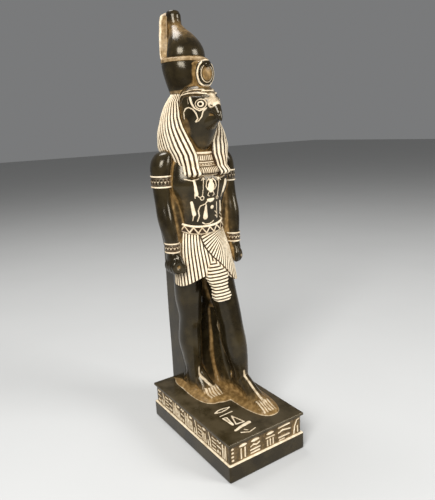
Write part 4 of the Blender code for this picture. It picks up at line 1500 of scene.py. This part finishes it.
def patina(name, ground, deep, wash_from, wash_to, gloss):
    """Dark polished stone, gold-brown wash in its hollows and cream on what is raised."""
    finish = Finish(name)
    cloud = finish.noise(60.0, 3.0)
    patch = finish.noise(260.0, 4.0)
    grain = finish.noise(1500.0, 3.0)
    gilt = finish.attribute("gilt")
    hollow = finish.attribute("hollow")
    crease = finish.attribute("crease")
    stone = finish.mix(finish.ramp(cloud, 0.35, 0.7), ground, deep)
    wash = finish.ramp(
        finish.sum((hollow, 1.0), (crease, 0.25), (patch, 0.22), (cloud, 0.26), (-0.24, 1.0)),
        wash_from,
        wash_to,
    )
    washed = finish.mix(wash, stone, finish.mix(finish.ramp(patch, 0.32, 0.85), GOLD_WASH, TAN))
    raised = finish.sum((gilt, 1.0), (patch, 0.25), (grain, 0.2), (-0.22, 1.0))
    pale_amount = finish.ramp(raised, 0.32, 0.72)
    wear = finish.sum((gilt, 0.6), (patch, 0.7), (cloud, 0.5), (grain, 0.3))
    pale_tone = finish.mix(finish.ramp(wear, 0.85, 1.5), WORN_CREAM, CREAM)
    colour = finish.mix(pale_amount, washed, pale_tone)
    finish.feed(finish.shader.inputs["Base Color"], colour)
    rough = finish.sum((wash, 0.18), (pale_amount, 0.28), (grain, 0.08), (gloss, 1.0))
    finish.feed(finish.shader.inputs["Roughness"], rough)
    finish.bump(finish.sum((grain, 0.5), (patch, 0.8)), 0.0004, 0.2)
    finish.shader.inputs["Specular IOR Level"].default_value = 0.36
    finish.shader.inputs["Specular Tint"].default_value = (1.0, 0.90, 0.72, 1)
    return finish.material


def floor_paint():
    """A plain pale matt floor."""
    finish = Finish("pale_floor")
    tone = finish.mix(finish.noise(6.0), (0.50, 0.50, 0.49, 1), (0.53, 0.53, 0.52, 1))
    finish.feed(finish.shader.inputs["Base Color"], tone)
    finish.shader.inputs["Roughness"].default_value = 0.7
    return finish.material


# Studio


def studio():
    """A pale floor and soft lights."""
    bm = bmesh.new()
    bmesh.ops.create_grid(bm, x_segments=4, y_segments=4, size=6.0)
    floor = placed("floor", mesh_of(bm, "floor"))
    floor.data.materials.append(floor_paint())
    world = bpy.data.worlds.new("studio")
    bpy.context.scene.world = world
    world.use_nodes = True
    background = world.node_tree.nodes["Background"]
    background.inputs["Color"].default_value = (0.80, 0.81, 0.82, 1)
    background.inputs["Strength"].default_value = 0.24
    for name, place, size, watts in (
        ("key", (-0.95, -0.75, 1.05), 0.70, 30.0),
        ("fill", (0.75, -1.05, 0.75), 0.55, 14.0),
        ("crown", (-0.1, 0.5, 1.35), 0.5, 9.0),
    ):
        light = bpy.data.lights.new(name, "AREA")
        light.shape = "SQUARE"
        light.size = size
        light.energy = watts
        lamp = placed(name, light)
        lamp.location = place
        aim = Vector((0, 0, 0.2)) - Vector(place)
        lamp.rotation_euler = aim.to_track_quat("-Z", "Y").to_euler()
    bpy.context.scene.view_settings.view_transform = "Standard"


def camera():
    """The photograph's viewpoint."""
    data = bpy.data.cameras.new("camera")
    data.sensor_fit = "VERTICAL"
    data.sensor_height = SENSOR
    data.lens = SENSOR * FOCAL_PIXELS / IMAGE_HEIGHT
    data.clip_start = 0.01
    made = placed("camera", data)
    back = Vector(
        (
            math.sin(CAMERA_TURN) * math.cos(CAMERA_TILT),
            -math.cos(CAMERA_TURN) * math.cos(CAMERA_TILT),
            math.sin(CAMERA_TILT),
        )
    )
    level = (-back).cross(Vector((0, 0, 1))).normalized()
    upright = level.cross(-back)
    right = math.cos(CAMERA_ROLL) * level + math.sin(CAMERA_ROLL) * upright
    up = -math.sin(CAMERA_ROLL) * level + math.cos(CAMERA_ROLL) * upright
    turn = Matrix((right, up, back)).transposed().to_4x4()
    made.matrix_world = Matrix.Translation(Vector(CAMERA_PLACE) * MM) @ turn
    bpy.context.scene.camera = made


# Build


def build():
    """Make every piece, give it its finish and set it on the frame."""
    skin = patina("polished_stone", BLACK_STONE, OLIVE_STONE, 0.10, 0.95, 0.13)
    relief = patina("antiqued_carving", GROOVE_BROWN, BLACK_STONE, 0.25, 1.3, 0.30)
    slab = patina("plinth_stone", OLIVE_STONE, BLACK_STONE, 0.25, 1.05, 0.17)
    ground = patina("plinth_top_stone", PLINTH_STONE, OLIVE_STONE, 0.25, 1.05, 0.15)
    made = [
        (plinth_sides(), slab),
        (plinth_top(), ground),
        (legs(), skin),
        (pillar(), skin),
        (torso(), skin),
        (arms(), skin),
        (belt(), relief),
        (kilt(), relief),
        (apron(), relief),
        (collar(), relief),
        (wig(), relief),
        (head(), skin),
        (crown_cup(), skin),
        (crown_back(), skin),
        (crown_bulb(), skin),
    ]
    made += [(piece, skin) for piece in cobra()]
    for side, word in ((-1, "right"), (1, "left")):
        made.append((bracelet(f"armband_{word}", side, 249.8, 11.0, (34.8, 32.2), (9.2, 11.2)), relief))
        made.append((bracelet(f"wristband_{word}", side, 190.5, 9.5, (34.0, 21.4), (6.8, 7.8)), relief))
    patinate([piece for piece, _ in made])
    for piece, finish in made:
        piece.data.materials.clear()
        piece.data.materials.append(finish)
        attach(piece, "root")
        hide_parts(NODE)


build()
studio()
camera()
